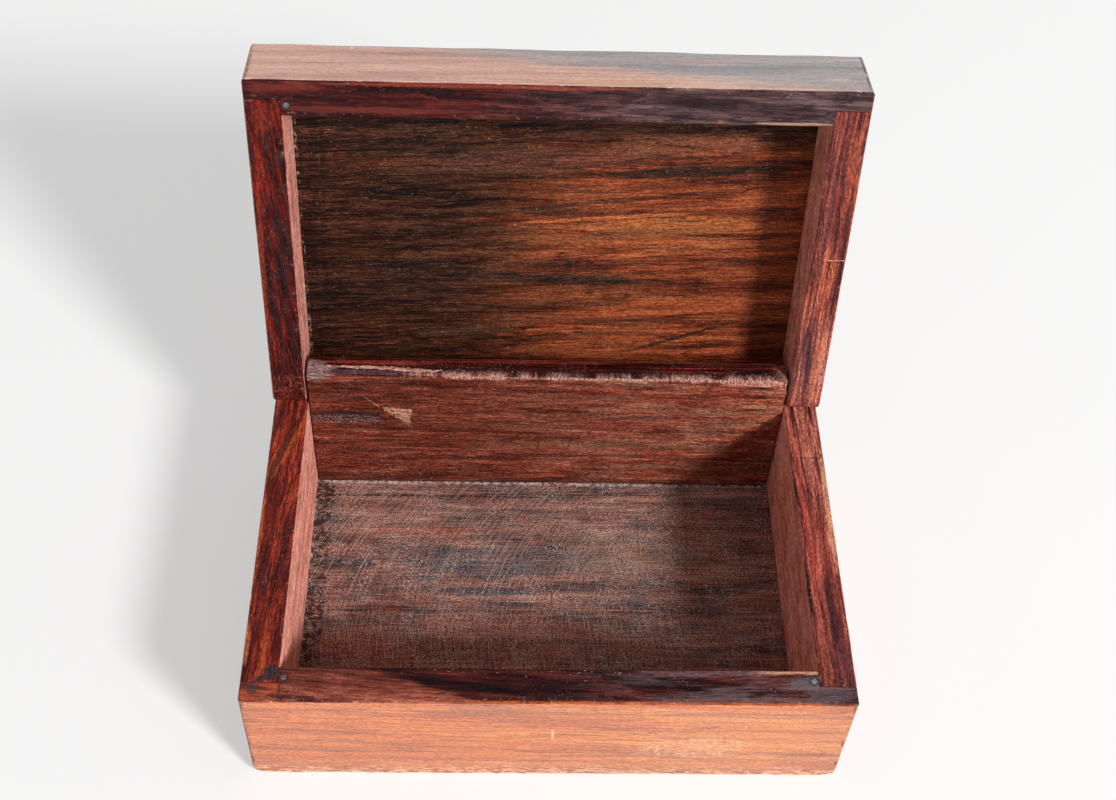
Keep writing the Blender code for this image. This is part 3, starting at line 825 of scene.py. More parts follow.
# %% Stains on the base's sides
SIDE_STAINS = (
    ((-69.4, 32, 38), (1.3, 13, 7), -0.318, (0.5, 0.1, 0.03), 0.5),
    ((-74.3, 22, 38), (1.2, 9, 7), -0.318, (0.46, 0.09, 0.028), 0.5),
    ((-71.8, 28, 38), (1.0, 15, 7), -0.318, (0.022, 0.008, 0.009), 0.7),
    ((-74.4, 38, 38), (1.6, 9, 7), -0.1, (0.03, 0.01, 0.011), 0.6),
    ((-75.8, 1, 38), (0.6, 17, 7), 0, (0.52, 0.12, 0.035), 0.7),
    ((-73.0, -15, 38), (1.4, 6, 7), 0, (0.04, 0.012, 0.013), 0.65),
    ((-68.4, -6, 38), (1.0, 12, 7), 0, (0.045, 0.012, 0.012), 0.65),
    ((-75.3, -34, 38), (0.6, 7, 7), 0, (0.48, 0.13, 0.05), 0.7),
    ((-68.6, -42.4, 38), (2.4, 1.9, 4), 0.6, (0.03, 0.026, 0.031), 0.9),
    ((-70.6, -44, 38), (2.2, 0.9, 4), 0.3, (0.035, 0.026, 0.03), 0.8),
    ((75.2, 9, 38), (0.9, 19, 4), 0, (0.8, 0.36, 0.2), 0.7),
    ((68.6, 12, 38), (0.6, 26, 5), 0.02, (0.44, 0.055, 0.035), 0.6),
    ((72.4, -26, 38), (1.6, 12, 5), 0, (0.06, 0.02, 0.024), 0.6),
    ((74.2, -38, 38), (2.2, 7, 4), 0, (0.14, 0.04, 0.042), 0.6),
    ((71.0, 26.2, 38), (4.4, 0.16, 4), 0, (0.04, 0.012, 0.012), 0.7),
)
print("streaks and stains on the sides:", len(SIDE_STAINS))

# %% Side boards of the base
def base_side_finish():
    """Left and right tones, then stains at their places: one row for each streak or spot."""
    f = Rosewood("base_side_rosewood", BASE, ALONG_Y, turn=(0, 0, -0.07), wander=2.4, reach=36)
    figure = f.figured((24, 2.2), (12, 0.5), 0.5)
    left = f.tones(
        figure, (0.34, (0.028, 0.004, 0.004)), (0.43, (0.1, 0.011, 0.008)), (0.53, (0.24, 0.026, 0.013)),
        (0.66, (0.5, 0.085, 0.028)),
    )
    blotches = f.mask(f.noise((1.8, 3.2, 2), 5.0, 0.7, at=(2, 9, 5)), 0.48, 0.38)
    left = f.stain(left, blotches, (0.04, 0.012, 0.013), 0.6)
    left = f.shade(left, f.fade("y", 4, 34, 1.02, 1.74))
    stripes = f.figured((28, 1.7), (30, 0.5), 0.5, at=(3, 2, 1), turn=(0, 0, 0.03))
    right = f.tones(
        stripes, (0.35, (0.02, 0.007, 0.01)), (0.44, (0.098, 0.021, 0.022)), (0.53, (0.3, 0.055, 0.038)),
        (0.64, (0.58, 0.145, 0.1)),
    )
    right = f.shade(right, f.fade("y", -10, -42, 1, 0.6))
    colour = f.mix(left, right, f.zone(RIGHT, 0, 1))
    rear = f.both(f.zone(RIGHT, 0, 1), f.zone(BACK, 12, 8, 6, (4, 8, 4)))
    colour = f.stain(colour, f.both(rear, f.mask(stripes, 0.46, 0.56)), (0.56, 0.19, 0.125), 0.6)
    colour = f.stains(colour, SIDE_STAINS, (0.9, 4, 2))
    colour = f.dusted(colour, strength=0.5)
    colour = f.mix(colour, inner_tones_and_sheen(f, figure), inward(f, 66.7, -40.8))
    colour = f.mix(colour, outside_tones(f, figure), outward(f, 76))
    colour = f.mix(colour, end_grain(f), f.zone(BACK, 50.35, 0.08))
    colour, height = f.fibres(colour, 0.32, 7, 0.3, 0.36)
    colour = f.rubbed(colour, (0.8, 0.36, 0.22), 0.6)
    return f.waxed(colour, height, figure)


side_wood = base_side_finish()

# %% [markdown]
# The back board, red-brown with a dark crown
#
# The back board has short fibres, darker on the left. Its round top is nearly black where hands have
# polished it, and pink where splinters have torn off. The mesh below knows where wood is missing, and keeps
# that as the attribute called bare, so the torn fibres read it instead of guessing.

# %% Stains on the back board, and a painted sunlit patch
BACK_STAINS_AND_SUNLIT_PATCH = (
    ((-56, 43, 33.6), (10, 4, 1.5), 0, (0.03, 0.016, 0.015), 0.8),
    ((-54, 43, 41), (11, 4, 0.9), 0, (0.055, 0.022, 0.018), 0.65),
    ((-50, 43, 5), (26, 4, 2.0), 0, (0.05, 0.013, 0.009), 0.6),
    ((5, 43, 3.5), (30, 4, 1.6), 0, (0.045, 0.014, 0.01), 0.6),
    ((24, 43, 33.5), (13, 4, 0.9), 0, (0.06, 0.03, 0.026), 0.5),
    ((32, 43, 21), (34, 4, 1.6), 0, (0.2, 0.1, 0.055), 0.45),
    ((46, 43, 12), (22, 4, 1.1), 0, (0.2, 0.095, 0.055), 0.45),
    ((-8, 43, 29), (24, 4, 1.0), 0, (0.16, 0.062, 0.034), 0.45),
    ((38, 43, 37), (26, 4, 0.9), 0, (0.3, 0.15, 0.09), 0.45),
    ((-20, 43, 14), (26, 4, 0.8), 0, (0.05, 0.012, 0.009), 0.55),
    # The last row is painted sunlight: a tan patch at the right end, just above the rim
    ((61, 43, 39.3), (7, 3, 0.9), 0, (0.5, 0.24, 0.12), 0.7),
)
CROWN_STAINS = (
    ((-65, 44.5, 51), (6, 3.4, 3.0), 0, (0.42, 0.27, 0.26), 0.6),
    ((-46, 47.6, 51), (15, 0.9, 3.0), 0, (0.3, 0.05, 0.03), 0.7),
    ((-50, 44.2, 51), (14, 0.6, 3.0), 0, (0.1, 0.045, 0.06), 0.7),
    ((-8, 48.6, 51), (24, 0.6, 4), 0, (0.36, 0.045, 0.026), 0.6),
    ((20, 44.5, 51), (30, 1.1, 4), 0, (0.01, 0.003, 0.003), 0.7),
    ((-20, 45.6, 51), (26, 0.5, 4), 0, (0.015, 0.005, 0.006), 0.7),
)
CROWN_FIBRES = (
    ((-49, 45.7, 51), (10, 0.5, 3.0), -0.02, (0.66, 0.34, 0.26), 0.9),
    ((-38, 45.1, 51), (8, 0.4, 3.0), -0.02, (0.62, 0.3, 0.23), 0.85),
)
print("stains on the back board:", len(BACK_STAINS_AND_SUNLIT_PATCH) + len(CROWN_STAINS) + len(CROWN_FIBRES))

# %% Wall and crown of the back board
CROWN_START = 50.1


def back_wall(f, figure):
    """Red-brown, tan where the wax is worn and brighter to the right, with stains, a painted sunlit patch and
    grey scrapes.
    """
    colour = f.tones(
        figure, (0.34, (0.022, 0.005, 0.004)), (0.43, (0.085, 0.014, 0.008)), (0.52, (0.2, 0.035, 0.018)),
        (0.61, (0.34, 0.085, 0.047)), (0.7, (0.48, 0.21, 0.14)),
    )
    tan = f.figured((16, 2.4), (5, 0.5), 0.5, at=(4, 6, 1))
    worn = f.both(f.mask(tan, 0.42, 0.66), f.fade("x", -50, 30, 0.2, 1))
    colour = f.stain(colour, worn, (0.32, 0.15, 0.095), 0.6)
    colour = f.shade(colour, f.fade("x", -30, 66, 0.84, 1.36))
    colour = f.stains(colour, BACK_STAINS_AND_SUNLIT_PATCH, (7, 2, 0.7), 0.8)
    scraped = f.patch((-57, 43, 31.5), (10, 4, 2.0), ragged=0.8, grain=(4, 2, 1))
    grey = f.mask(f.noise((0.5, 0.5, 0.5), 2.0, 0.6), 0.52, 0.6)
    return f.stain(colour, f.both(scraped, grey), (0.42, 0.34, 0.32), 0.7)


def back_crown(f, colour):
    """Nearly black above a ragged line, with red streaks and pale fibres."""
    crown = f.zone(UP, CROWN_START, 0.3, 0.6, (12, 2, 0.6))
    polished = f.streaks(24, 0.9, 8.0, 0.72, at=(1, 9, 3))
    dark = f.tones(
        polished, (0.4, (0.006, 0.001, 0.001)), (0.5, (0.034, 0.003, 0.002)), (0.59, (0.11, 0.009, 0.006)),
        (0.7, (0.26, 0.045, 0.034)),
    )
    colour = f.mix(colour, dark, crown)
    colour = f.stains(colour, CROWN_STAINS, (7, 0.7, 0.7), 0.8)
    return f.stains(colour, CROWN_FIBRES, (1.4, 0.4, 0.4), 1.4)


print("the crown's dark wood begins", round(CROWN_START - RIM, 1), "mm above the rim")

# %% Torn wood, and the whole of the back board
def torn_wood(f):
    """Pink tufts on the crown, and tan splinters in the flake below. Gives the colour and where it is."""
    tuft = f.noise((0.34, 0.8, 0.8), 4.0, 0.7, at=(2, 2, 6))
    torn = f.tones(
        tuft, (0.4, (0.12, 0.03, 0.025)), (0.5, (0.46, 0.2, 0.16)), (0.62, (0.78, 0.5, 0.41)),
    )
    splinters = f.streaks(3.0, 0.35, 4.0, 0.7, at=(4, 4, 2))
    split = f.tones(
        splinters, (0.42, (0.26, 0.08, 0.045)), (0.5, (0.66, 0.31, 0.185)), (0.6, (0.92, 0.6, 0.44)),
    )
    torn = f.mix(torn, split, f.fade("z", 46, 44))
    return torn, f.both(f.own("bare"), f.mask(tuft, 0.4, 0.5, 0.45, 1))


def back_finish():
    """Wall and crown, nearly black along the foot above the floor, the outside, and torn wood over all."""
    f = Rosewood("base_back_rosewood", BASE, ALONG_X, turn=(0, 0.012, 0), wander=1.4, reach=50)
    figure = f.figured((26, 2.2), (9, 0.36), 0.6)
    colour = back_crown(f, back_wall(f, figure))
    split_line = f.patch((-49, 43, 39.2), (3.2, 3, 0.13), (0, 0.835, 0), 0.3, 0.5, (1, 1, 1))
    colour = f.stain(colour, split_line, (0.62, 0.4, 0.31), 0.6)
    colour = f.dusted(colour, 0.66, 0.72, 0.32)
    # Nearly black along the foot, where the wall meets the floor
    colour = f.stain(colour, f.zone(DOWN, -3.0, 0.2, 0.3, (4, 1, 1)), (0.014, 0.006, 0.005), 0.9)
    colour = f.mix(colour, outside_tones(f, figure), f.zone(BACK, 50.2, 0.12))
    colour, height = f.fibres(colour, 0.42, 5, 0.26, 0.5, 0.6)
    colour = f.mix(colour, *torn_wood(f))
    return f.waxed(colour, height, figure, 0.45, 0.65)


back_wood = back_finish()

# %% [markdown]
# Marks of the saw
#
# The thin floor was never planed, so it keeps the saw's arcs, and things dragged about have scratched it.
# Smooth noise gives blots but no lines of one width. So each set of marks is cut into narrow cells with one
# line a cell, and noise switches the line on and off along its length.

# %% Lines of one width, and the directions they take
SAW_RADIUS = 62
SAW_MIDDLE = -12
UPRIGHT = math.radians(99.7)


def scratches(f, across, along, pitch, width, length, seed):
    """Across is cut into cells of one pitch. Each cell has one line, at a random place: 1 where
    |fraction - place| is small. Noise along the line switches it on and off."""
    count = f.math("DIVIDE", across, pitch)
    cell = f.math("FLOOR", count)
    place = f.add("TexWhiteNoise", {"W": f.math("ADD", cell, seed)}, noise_dimensions="1D")
    away = f.math("SUBTRACT", f.math("FRACT", count), f.mask(place, 0, 1, 0.2, 0.8))
    line = f.mask(f.math("ABSOLUTE", away), width / pitch, 0.2 * width / pitch)
    parts = {"X": f.math("DIVIDE", along, length), "Y": f.math("MULTIPLY", cell, 5.3), "Z": seed}
    run = f.add("TexNoise", {"Vector": f.add("CombineXYZ", parts), "Scale": 1.0, "Detail": 2.0})
    return f.both(line, f.mask(run, 0.48, 0.6))


def saw_marks(f):
    """A round blade leaves arcs of its own radius. Near its middle an arc is x = across +
    (y - middle)^2 / (2 radius), so across = x - (y - middle)^2 / (2 radius)."""
    unsteady = f.add("SeparateXYZ", {"Vector": f.wandering((8, 8, 8), (0.35, 0.35, 0))}, "X")
    away = f.math("SUBTRACT", f.axis("y"), SAW_MIDDLE)
    return f.times_plus(f.math("MULTIPLY", away, away), -0.5 / SAW_RADIUS, unsteady)


def slanted(f, turn):
    """How far the spot lies across and along a direction in the floor's plane, turned from the grain."""
    unsteady = f.wandering((8, 8, 8), (0.35, 0.35, 0))
    c, s = math.cos(turn), math.sin(turn)
    return f.dot(unsteady, (-s, c, 0)), f.dot(unsteady, (c, s, 0))


print("an arc bends by", round((REAR - SAW_MIDDLE) ** 2 / (2 * SAW_RADIUS), 1), "mm up to the rear")

# %% All sets of marks
def scored(f, colour):
    """Rows of direction, pitch, width, length, tone, strength and where: everywhere, in the back left
    quarter, or in the front."""
    pale, black, red = (0.64, 0.48, 0.4), (0.022, 0.014, 0.016), (0.5, 0.2, 0.13)
    arcs = saw_marks(f), f.axis("y")
    level, upright = slanted(f, 0), slanted(f, UPRIGHT)
    everywhere = f.fade("x", 44, 8, 0.25, 1)
    crowded = f.mask(f.noise((9, 20, 9), 2.0, 0.5, at=(3, 1, 1)), 0.38, 0.52)
    rear = f.both(f.zone(BACK, 6, 10, 6, (14, 9, 9)), f.both(f.fade("x", 26, 4), crowded))
    front = f.zone(FRONT, 0, 8, 6, (14, 9, 9))
    rows = (
        (arcs, 0.9, 0.13, 7, black, 0.75, everywhere), (arcs, 0.75, 0.1, 6, pale, 0.4, everywhere),
        (arcs, 2.3, 0.13, 17, pale, 0.75, rear), (arcs, 1.2, 0.11, 12, pale, 0.55, rear),
        (arcs, 1.5, 0.17, 16, black, 0.8, rear), (level, 0.7, 0.12, 5, black, 0.65, 1.0),
        (level, 0.8, 0.11, 6, red, 0.7, 1.0), (level, 2.4, 0.11, 12, pale, 0.5, 1.0),
        (upright, 1.3, 0.11, 7, pale, 0.45, front), (upright, 1.2, 0.13, 8, black, 0.65, front),
    )
    for seed, ((across, along), pitch, width, length, tone, strength, where) in enumerate(rows):
        marks = scratches(f, across, along, pitch, width, length, seed + 1.0)
        colour = f.stain(colour, f.both(marks, where), tone, strength)
    return colour


print("upright marks lean by", round(math.degrees(UPRIGHT) - 90, 1), "degrees")

# %% [markdown]
# The floor's own colour, and the dust in its corners
#
# Under the marks the floor is purple-brown and clouded, with a few dark streaks. Dust has gathered along
# the back wall and on the left, where it was never wiped. Grit is a fine noise that swings the tone and
# also gives part of the height.

# %% Stains on the floor
FLOOR_STAINS = (
    ((-17, 4.8, 2), (15, 1.4, 3), 0, (0.05, 0.05, 0.062), 0.85),
    ((-10, 0.8, 2), (7, 0.7, 3), 0, (0.045, 0.045, 0.056), 0.8),
    ((20, 1.5, 2), (9, 1.2, 3), 0, (0.07, 0.065, 0.075), 0.6),
    ((-56, 13.8, 2), (9, 2.0, 3), 0, (0.04, 0.036, 0.042), 0.85),
    ((-12, 15, 2), (30, 5.0, 3), 0, (0.085, 0.08, 0.09), 0.7),
    ((-32, 25.5, 2), (18, 1.3, 3), 0, (0.36, 0.1, 0.06), 0.5),
    ((24, 18, 2), (20, 9.0, 3), 0, (0.3, 0.2, 0.15), 0.4),
    ((-20, -13, 2), (44, 9.0, 3), 0, (0.3, 0.1, 0.075), 0.4),
    ((-30, 38.0, 2), (40, 0.4, 3), 0, (0.03, 0.014, 0.013), 0.85),
    ((10, 39.2, 2), (24, 0.8, 3), 0, (0.045, 0.022, 0.02), 0.8),
    ((45, -36, 2), (16, 3.0, 3), 0, (0.05, 0.038, 0.036), 0.6),
)
print("stains on the floor:", len(FLOOR_STAINS))

# %% Floor board
def floor_finish():
    """Clouds and streaks, then grit, marks, a column of black spots, and dust at the edges."""
    f = Rosewood("base_floor_rosewood", BASE, ALONG_X, wander=2.0, reach=50)
    figure = f.figured((30, 3.4), (10, 0.45), 0.5)
    colour = f.tones(
        figure, (0.35, (0.055, 0.03, 0.029)), (0.44, (0.155, 0.076, 0.063)), (0.54, (0.27, 0.13, 0.104)),
        (0.65, (0.46, 0.26, 0.205)),
    )
    cloudy = f.noise((16, 6, 9), 6.0, 0.65, at=(5, 9, 2))
    colour = f.stain(colour, f.mask(cloudy, 0.5, 0.62), (0.09, 0.074, 0.078), 0.65)
    colour = f.stain(colour, f.mask(cloudy, 0.48, 0.38), (0.3, 0.09, 0.062), 0.5)
    colour = f.stains(colour, FLOOR_STAINS, (5, 1.2, 2), 0.8)
    grit = f.noise((0.7, 0.36, 0.4), 3.0, 0.7, at=(8, 8, 1))
    colour = f.swing(colour, grit, 0.75, 0.38, 0.62)
    colour = scored(f, colour)
    black_spots = f.mask(f.noise((1.6, 1.1, 4), 4.0, 0.7), 0.46, 0.54)
    column = f.both(f.zone(LEFT, 61.6, 0.3, 0.5, (1, 1.2, 1)), black_spots)
    colour = f.stain(colour, column, (0.014, 0.009, 0.01), 0.85)
    colour = f.dusted(colour, 0.61, 0.67, 0.36, (0.66, 0.56, 0.5), 0.75)
    edge = f.zone(BACK, 42.2, 0.3, 0.4, (3, 1, 1))
    gaps = f.mask(f.noise((1, 1.4, 1), 3.0, 0.6, at=(3, 3, 3)), 0.52, 0.6)
    side = f.both(f.zone(LEFT, 66.0, 0.2, 0.3, (1, 3, 1)), gaps)
    dirt = f.both(f.math("MAXIMUM", edge, side), f.mask(f.noise((0.9, 0.9, 0.9), 3.0, 0.6), 0.42, 0.6))
    colour = f.stain(colour, dirt, (0.62, 0.5, 0.44), 0.85)
    colour = f.mix(colour, outside_tones(f, figure), f.zone(DOWN, -1.0, 0.2))
    height = f.times_plus(figure, 0.1, f.math("MULTIPLY", grit, 0.06))
    return f.waxed(colour, height, figure, 0.62, 0.8)


floor_wood = floor_finish()

# %% [markdown]
# The lid's front, salmon to grey-blue
#
# This face is salmon, and towards the right a painted grey-blue reflection of the sky lies over it, above a
# dark rim. Two ramps read the same figure, and a wide soft zone blends them, so the streaks run on from one
# to the other.

# %% Stains on the lid's front
LID_FACE_STAINS = (
    ((60, -96.8, -3), (20, 3, 0.7), 0, (0.68, 0.42, 0.34), 0.5),
    ((34, -96.8, 8.5), (9, 3, 1.6), 0, (0.66, 0.4, 0.38), 0.5),
    ((68, -96.8, 1.2), (3.2, 3, 0.7), 0, (0.8, 0.62, 0.48), 0.5),
    ((-25, -96.8, 9.5), (22, 3, 1.0), 0, (0.36, 0.27, 0.26), 0.5),
    ((-51, -96.8, 12), (0.45, 3, 0.35), 0, (0.98, 0.95, 0.9), 0.9),
    ((25, -96.8, 6), (30, 3, 1.1), 0, (0.3, 0.29, 0.31), 0.5),
    ((10, -96.8, -2.6), (22, 3, 1.4), 0, (0.72, 0.38, 0.26), 0.5),
)
LID_RIM_STAINS = (
    ((-67, -94.8, -4.7), (9, 1.0, 3), 0, (0.16, 0.028, 0.018), 0.6),
    ((-20, -96.2, -4.7), (40, 0.5, 3), 0, (0.3, 0.05, 0.026), 0.6),
    ((58, -87.7, -4.7), (9, 0.4, 3), 0, (0.42, 0.25, 0.15), 0.8),
    ((-48, -89.2, -4.7), (30, 0.8, 3), 0, (0.16, 0.03, 0.024), 0.6),
)
print("stains on the lid's front:", len(LID_FACE_STAINS) + len(LID_RIM_STAINS))

# %% Face and rim of the lid's front
def lid_front_face(f, figure):
    """Salmon, with a painted grey-blue sky reflection blended in to the right, and stains at their places."""
    face = f.tones(
        figure, (0.34, (0.63, 0.37, 0.31)), (0.45, (0.75, 0.45, 0.37)), (0.56, (0.83, 0.51, 0.41)),
        (0.68, (0.93, 0.61, 0.47)),
    )
    grey = f.tones(
        figure, (0.34, (0.35, 0.32, 0.325)), (0.45, (0.45, 0.41, 0.41)), (0.56, (0.53, 0.465, 0.46)),
        (0.68, (0.66, 0.53, 0.49)),
    )
    # Painted reflection: the grey ramp stands for the sky seen in this face, blended in towards the right
    face = f.mix(face, grey, f.zone((1, 0, 5.5), 38, 22, 22, (36, 3, 2)))
    return f.stains(face, LID_FACE_STAINS, (8, 1, 0.8))


def lid_front_rim(f):
    """Black, then purple to the right, clouded, and crushed around the pins."""
    fine = f.figured((26, 2.4), (12, 0.5), 0.5, at=(3, 3, 9), turn=(0, 0, 0.03))
    rim = f.tones(
        fine, (0.36, (0.006, 0.001, 0.001)), (0.46, (0.025, 0.003, 0.003)), (0.56, (0.073, 0.008, 0.006)),
        (0.68, (0.17, 0.028, 0.02)),
    )
    purple = f.tones(
        fine, (0.38, (0.019, 0.01, 0.012)), (0.51, (0.076, 0.04, 0.042)), (0.65, (0.19, 0.122, 0.118)),
    )
    rim = f.mix(rim, purple, f.zone(RIGHT, 2, 30, 16, (24, 3, 3)))
    clouds = f.noise((5, 1.6, 4), 6.0, 0.7, at=(9, 2, 5))
    rim = f.stain(rim, f.mask(clouds, 0.5, 0.4), (0.026, 0.008, 0.011), 0.75)
    rim = f.stain(rim, f.mask(clouds, 0.54, 0.64), (0.18, 0.05, 0.046), 0.35)
    rim = f.stains(rim, LID_RIM_STAINS, (6, 0.8, 0.8))
    return pin_rings(f, f.dusted(rim, 0.73, 0.79), 65.75, -90.05, -4.7)


print("the rim lies at", shut_box("lid_front_wall")[0][2].round(2), "mm in the lid's own frame")

# %% Whole of the lid's front
def lid_front_finish():
    """Face, rim, inner face and sawn ends."""
    f = Rosewood("lid_front_rosewood", LID, ALONG_X, turn=(0, -0.02, 0), wander=1.5)
    figure = f.figured((80, 4.0), (50, 0.6), 0.5)
    face, rim = lid_front_face(f, figure), lid_front_rim(f)
    colour = f.mix(face, rim, f.zone(DOWN, 4.42, 0.08, 0.1, (3, 3, 3)))
    inside = f.both(f.zone(BACK, -87.4, 0.1), f.zone(UP, -4.3, 0.1))
    colour = f.mix(colour, inner_tones_and_sheen(f, figure, 0.8), inside)
    colour = f.mix(colour, end_grain(f, ALONG_X), outward(f, 76))
    colour, height = f.fibres(colour, 0.12, 16, 0.3, 0.1, 0.16)
    colour = f.rubbed(colour, (0.7, 0.38, 0.26), 0.35)
    return f.waxed(colour, height, figure, 0.42, 0.56)


lid_front_wood = lid_front_finish()

# %% [markdown]
# The lid's sides, mottled on the left and striped on the right
#
# The left board is blotched red-black, and the right one has long straight stripes that turn brighter
# towards the hinge. As on the base, one finish tells left from right by the sign of x, and in the lid's own
# frame the places are as easy to give as on the base.

# %% Stains on the lid's sides
LID_SIDE_STAINS = (
    ((-71.6, -86.5, -4.7), (2.6, 4.5, 5), 0, (0.26, 0.03, 0.014), 0.4),
    ((-75.0, -48, -4.7), (0.7, 22, 5), 0.02, (0.3, 0.036, 0.016), 0.5),
    ((-70.0, -48, -4.7), (1.1, 16, 5), -0.03, (0.02, 0.007, 0.009), 0.7),
    ((-72.8, -28, -4.7), (1.1, 8, 5), -0.1, (0.022, 0.008, 0.009), 0.65),
    ((-69.4, -8, -4.7), (0.4, 10, 5), -0.22, (0.014, 0.006, 0.007), 0.8),
    ((73.4, -72, -4.7), (1.2, 13, 5), 0.02, (0.38, 0.08, 0.042), 0.6),
    ((73.0, -14, -4.7), (1.2, 12, 5), 0.02, (0.5, 0.13, 0.07), 0.45),
    ((69.5, -60, -4.7), (0.9, 22, 5), 0.02, (0.13, 0.038, 0.038), 0.6),
    ((73.5, -47.6, -4.7), (2.6, 0.16, 4), 0, (0.72, 0.34, 0.24), 0.7),
)
print("streaks and stains on the lid's sides:", len(LID_SIDE_STAINS))

# %% Side boards of the lid
def lid_side_finish():
    """Left and right tones, stains at their places, and the worn outside and top."""
    f = Rosewood("lid_side_rosewood", LID, ALONG_Y, turn=(0, 0, -0.1), wander=1.8, reach=40)
    figure = f.figured((16, 1.9), (9, 0.45), 0.5)
    stripes = f.figured((34, 1.6), (30, 0.6), 0.45, at=(3, 2, 1), turn=(0, 0, 0.015))
    right = f.tones(
        stripes, (0.37, (0.026, 0.008, 0.011)), (0.45, (0.092, 0.019, 0.018)), (0.53, (0.24, 0.048, 0.03)),
        (0.62, (0.52, 0.13, 0.066)),
    )
    low = f.tones(
        stripes, (0.38, (0.046, 0.018, 0.025)), (0.45, (0.125, 0.041, 0.042)), (0.52, (0.3, 0.09, 0.066)),
        (0.6, (0.55, 0.205, 0.145)),
    )
    right = f.mix(right, low, f.fade("y", -38, -14, 0, 0.85))
    right = f.mix(right, (0.12, 0.026, 0.028), f.fade("y", -45, -80, 0, 0.35))
    left = f.tones(
        figure, (0.36, (0.007, 0.001, 0.001)), (0.46, (0.038, 0.0038, 0.003)), (0.56, (0.118, 0.0085, 0.005)),
        (0.69, (0.28, 0.026, 0.009)),
    )
    mottle = f.mask(f.noise((2.0, 5.0, 2), 5.0, 0.65, at=(5, 2, 5)), 0.5, 0.4)
    left = f.stain(left, mottle, (0.05, 0.018, 0.02), 0.65)
    colour = f.mix(left, right, f.zone(RIGHT, 0, 1))
    colour = f.stains(colour, LID_SIDE_STAINS, (0.9, 4, 2))
    speckled = f.noise((0.6, 0.8, 0.6), 3.0, 0.7, at=(6, 1, 1))
    end = f.both(f.zone(BACK, -6.5, 0.8, 1.0, (2, 2, 2)), f.mask(speckled, 0.46, 0.62))
    colour = f.stain(colour, end, (0.36, 0.065, 0.035), 0.6)
    colour = f.dusted(colour, strength=0.5)
    colour = f.mix(colour, inner_tones_and_sheen(f, figure, 0.8), inward(f, 67.0, -87.15))
    top = f.zone(UP, 13.7, 0.12)
    colour = f.mix(colour, outside_tones(f, figure), f.math("MAXIMUM", outward(f, 76), top))
    colour, height = f.fibres(colour, 0.34, 7, 0.3, 0.38)
    colour = f.rubbed(colour, (0.7, 0.3, 0.2), 0.45)
    return f.waxed(colour, height, figure)


lid_side_wood = lid_side_finish()

# %% [markdown]
# The lid's panel, the finest board
#
# The panel is brown-black on the left and glows orange on the right, with black streaks that cross the
# grain at a shallow angle. The two ramps share one figure again. The streaks are patches turned a few
# degrees, because a streak that follows the noise alone would never cross the grain.

# %% Streaks on the lid's panel
PANEL_STREAKS = (
    ((37, -63.4, 11.8), (25, 1.6, 4), -0.06, (0.012, 0.008, 0.007), 0.92),
    ((12, -53.5, 11.8), (30, 0.8, 4), -0.13, (0.014, 0.007, 0.006), 0.75),
    ((2, -28.4, 11.8), (28, 1.7, 4), 0.02, (0.008, 0.006, 0.006), 0.95),
    ((-34, -31.5, 11.8), (19, 2.6, 4), 0.02, (0.01, 0.006, 0.005), 0.7),
    ((34, -46.5, 11.8), (22, 3.0, 4), -0.05, (0.46, 0.15, 0.042), 0.5),
    ((-4, -66, 11.8), (30, 3.2, 4), -0.05, (0.085, 0.034, 0.028), 0.5),
    ((37.5, -9.3, 11.8), (17, 0.6, 4), -0.36, (0.014, 0.009, 0.007), 0.8),
    ((-18, -10.5, 11.8), (16, 1.2, 4), -0.1, (0.013, 0.009, 0.007), 0.75),
    ((-45, -24, 11.8), (22, 5.5, 4), 0, (0.012, 0.005, 0.005), 0.55),
    ((-48, -73, 11.8), (26, 5.5, 4), 0, (0.014, 0.006, 0.005), 0.55),
    ((22, -41.4, 11.8), (32, 2.2, 4), 0, (0.48, 0.13, 0.045), 0.45),
    ((14, -48.6, 11.8), (24, 0.6, 4), -0.09, (0.6, 0.16, 0.05), 0.7),
    ((36, -20, 11.8), (22, 2.8, 4), -0.05, (0.42, 0.095, 0.03), 0.4),
    ((34, -71, 11.8), (20, 3.0, 4), -0.04, (0.26, 0.085, 0.044), 0.5),
)
print("streaks on the panel:", len(PANEL_STREAKS))

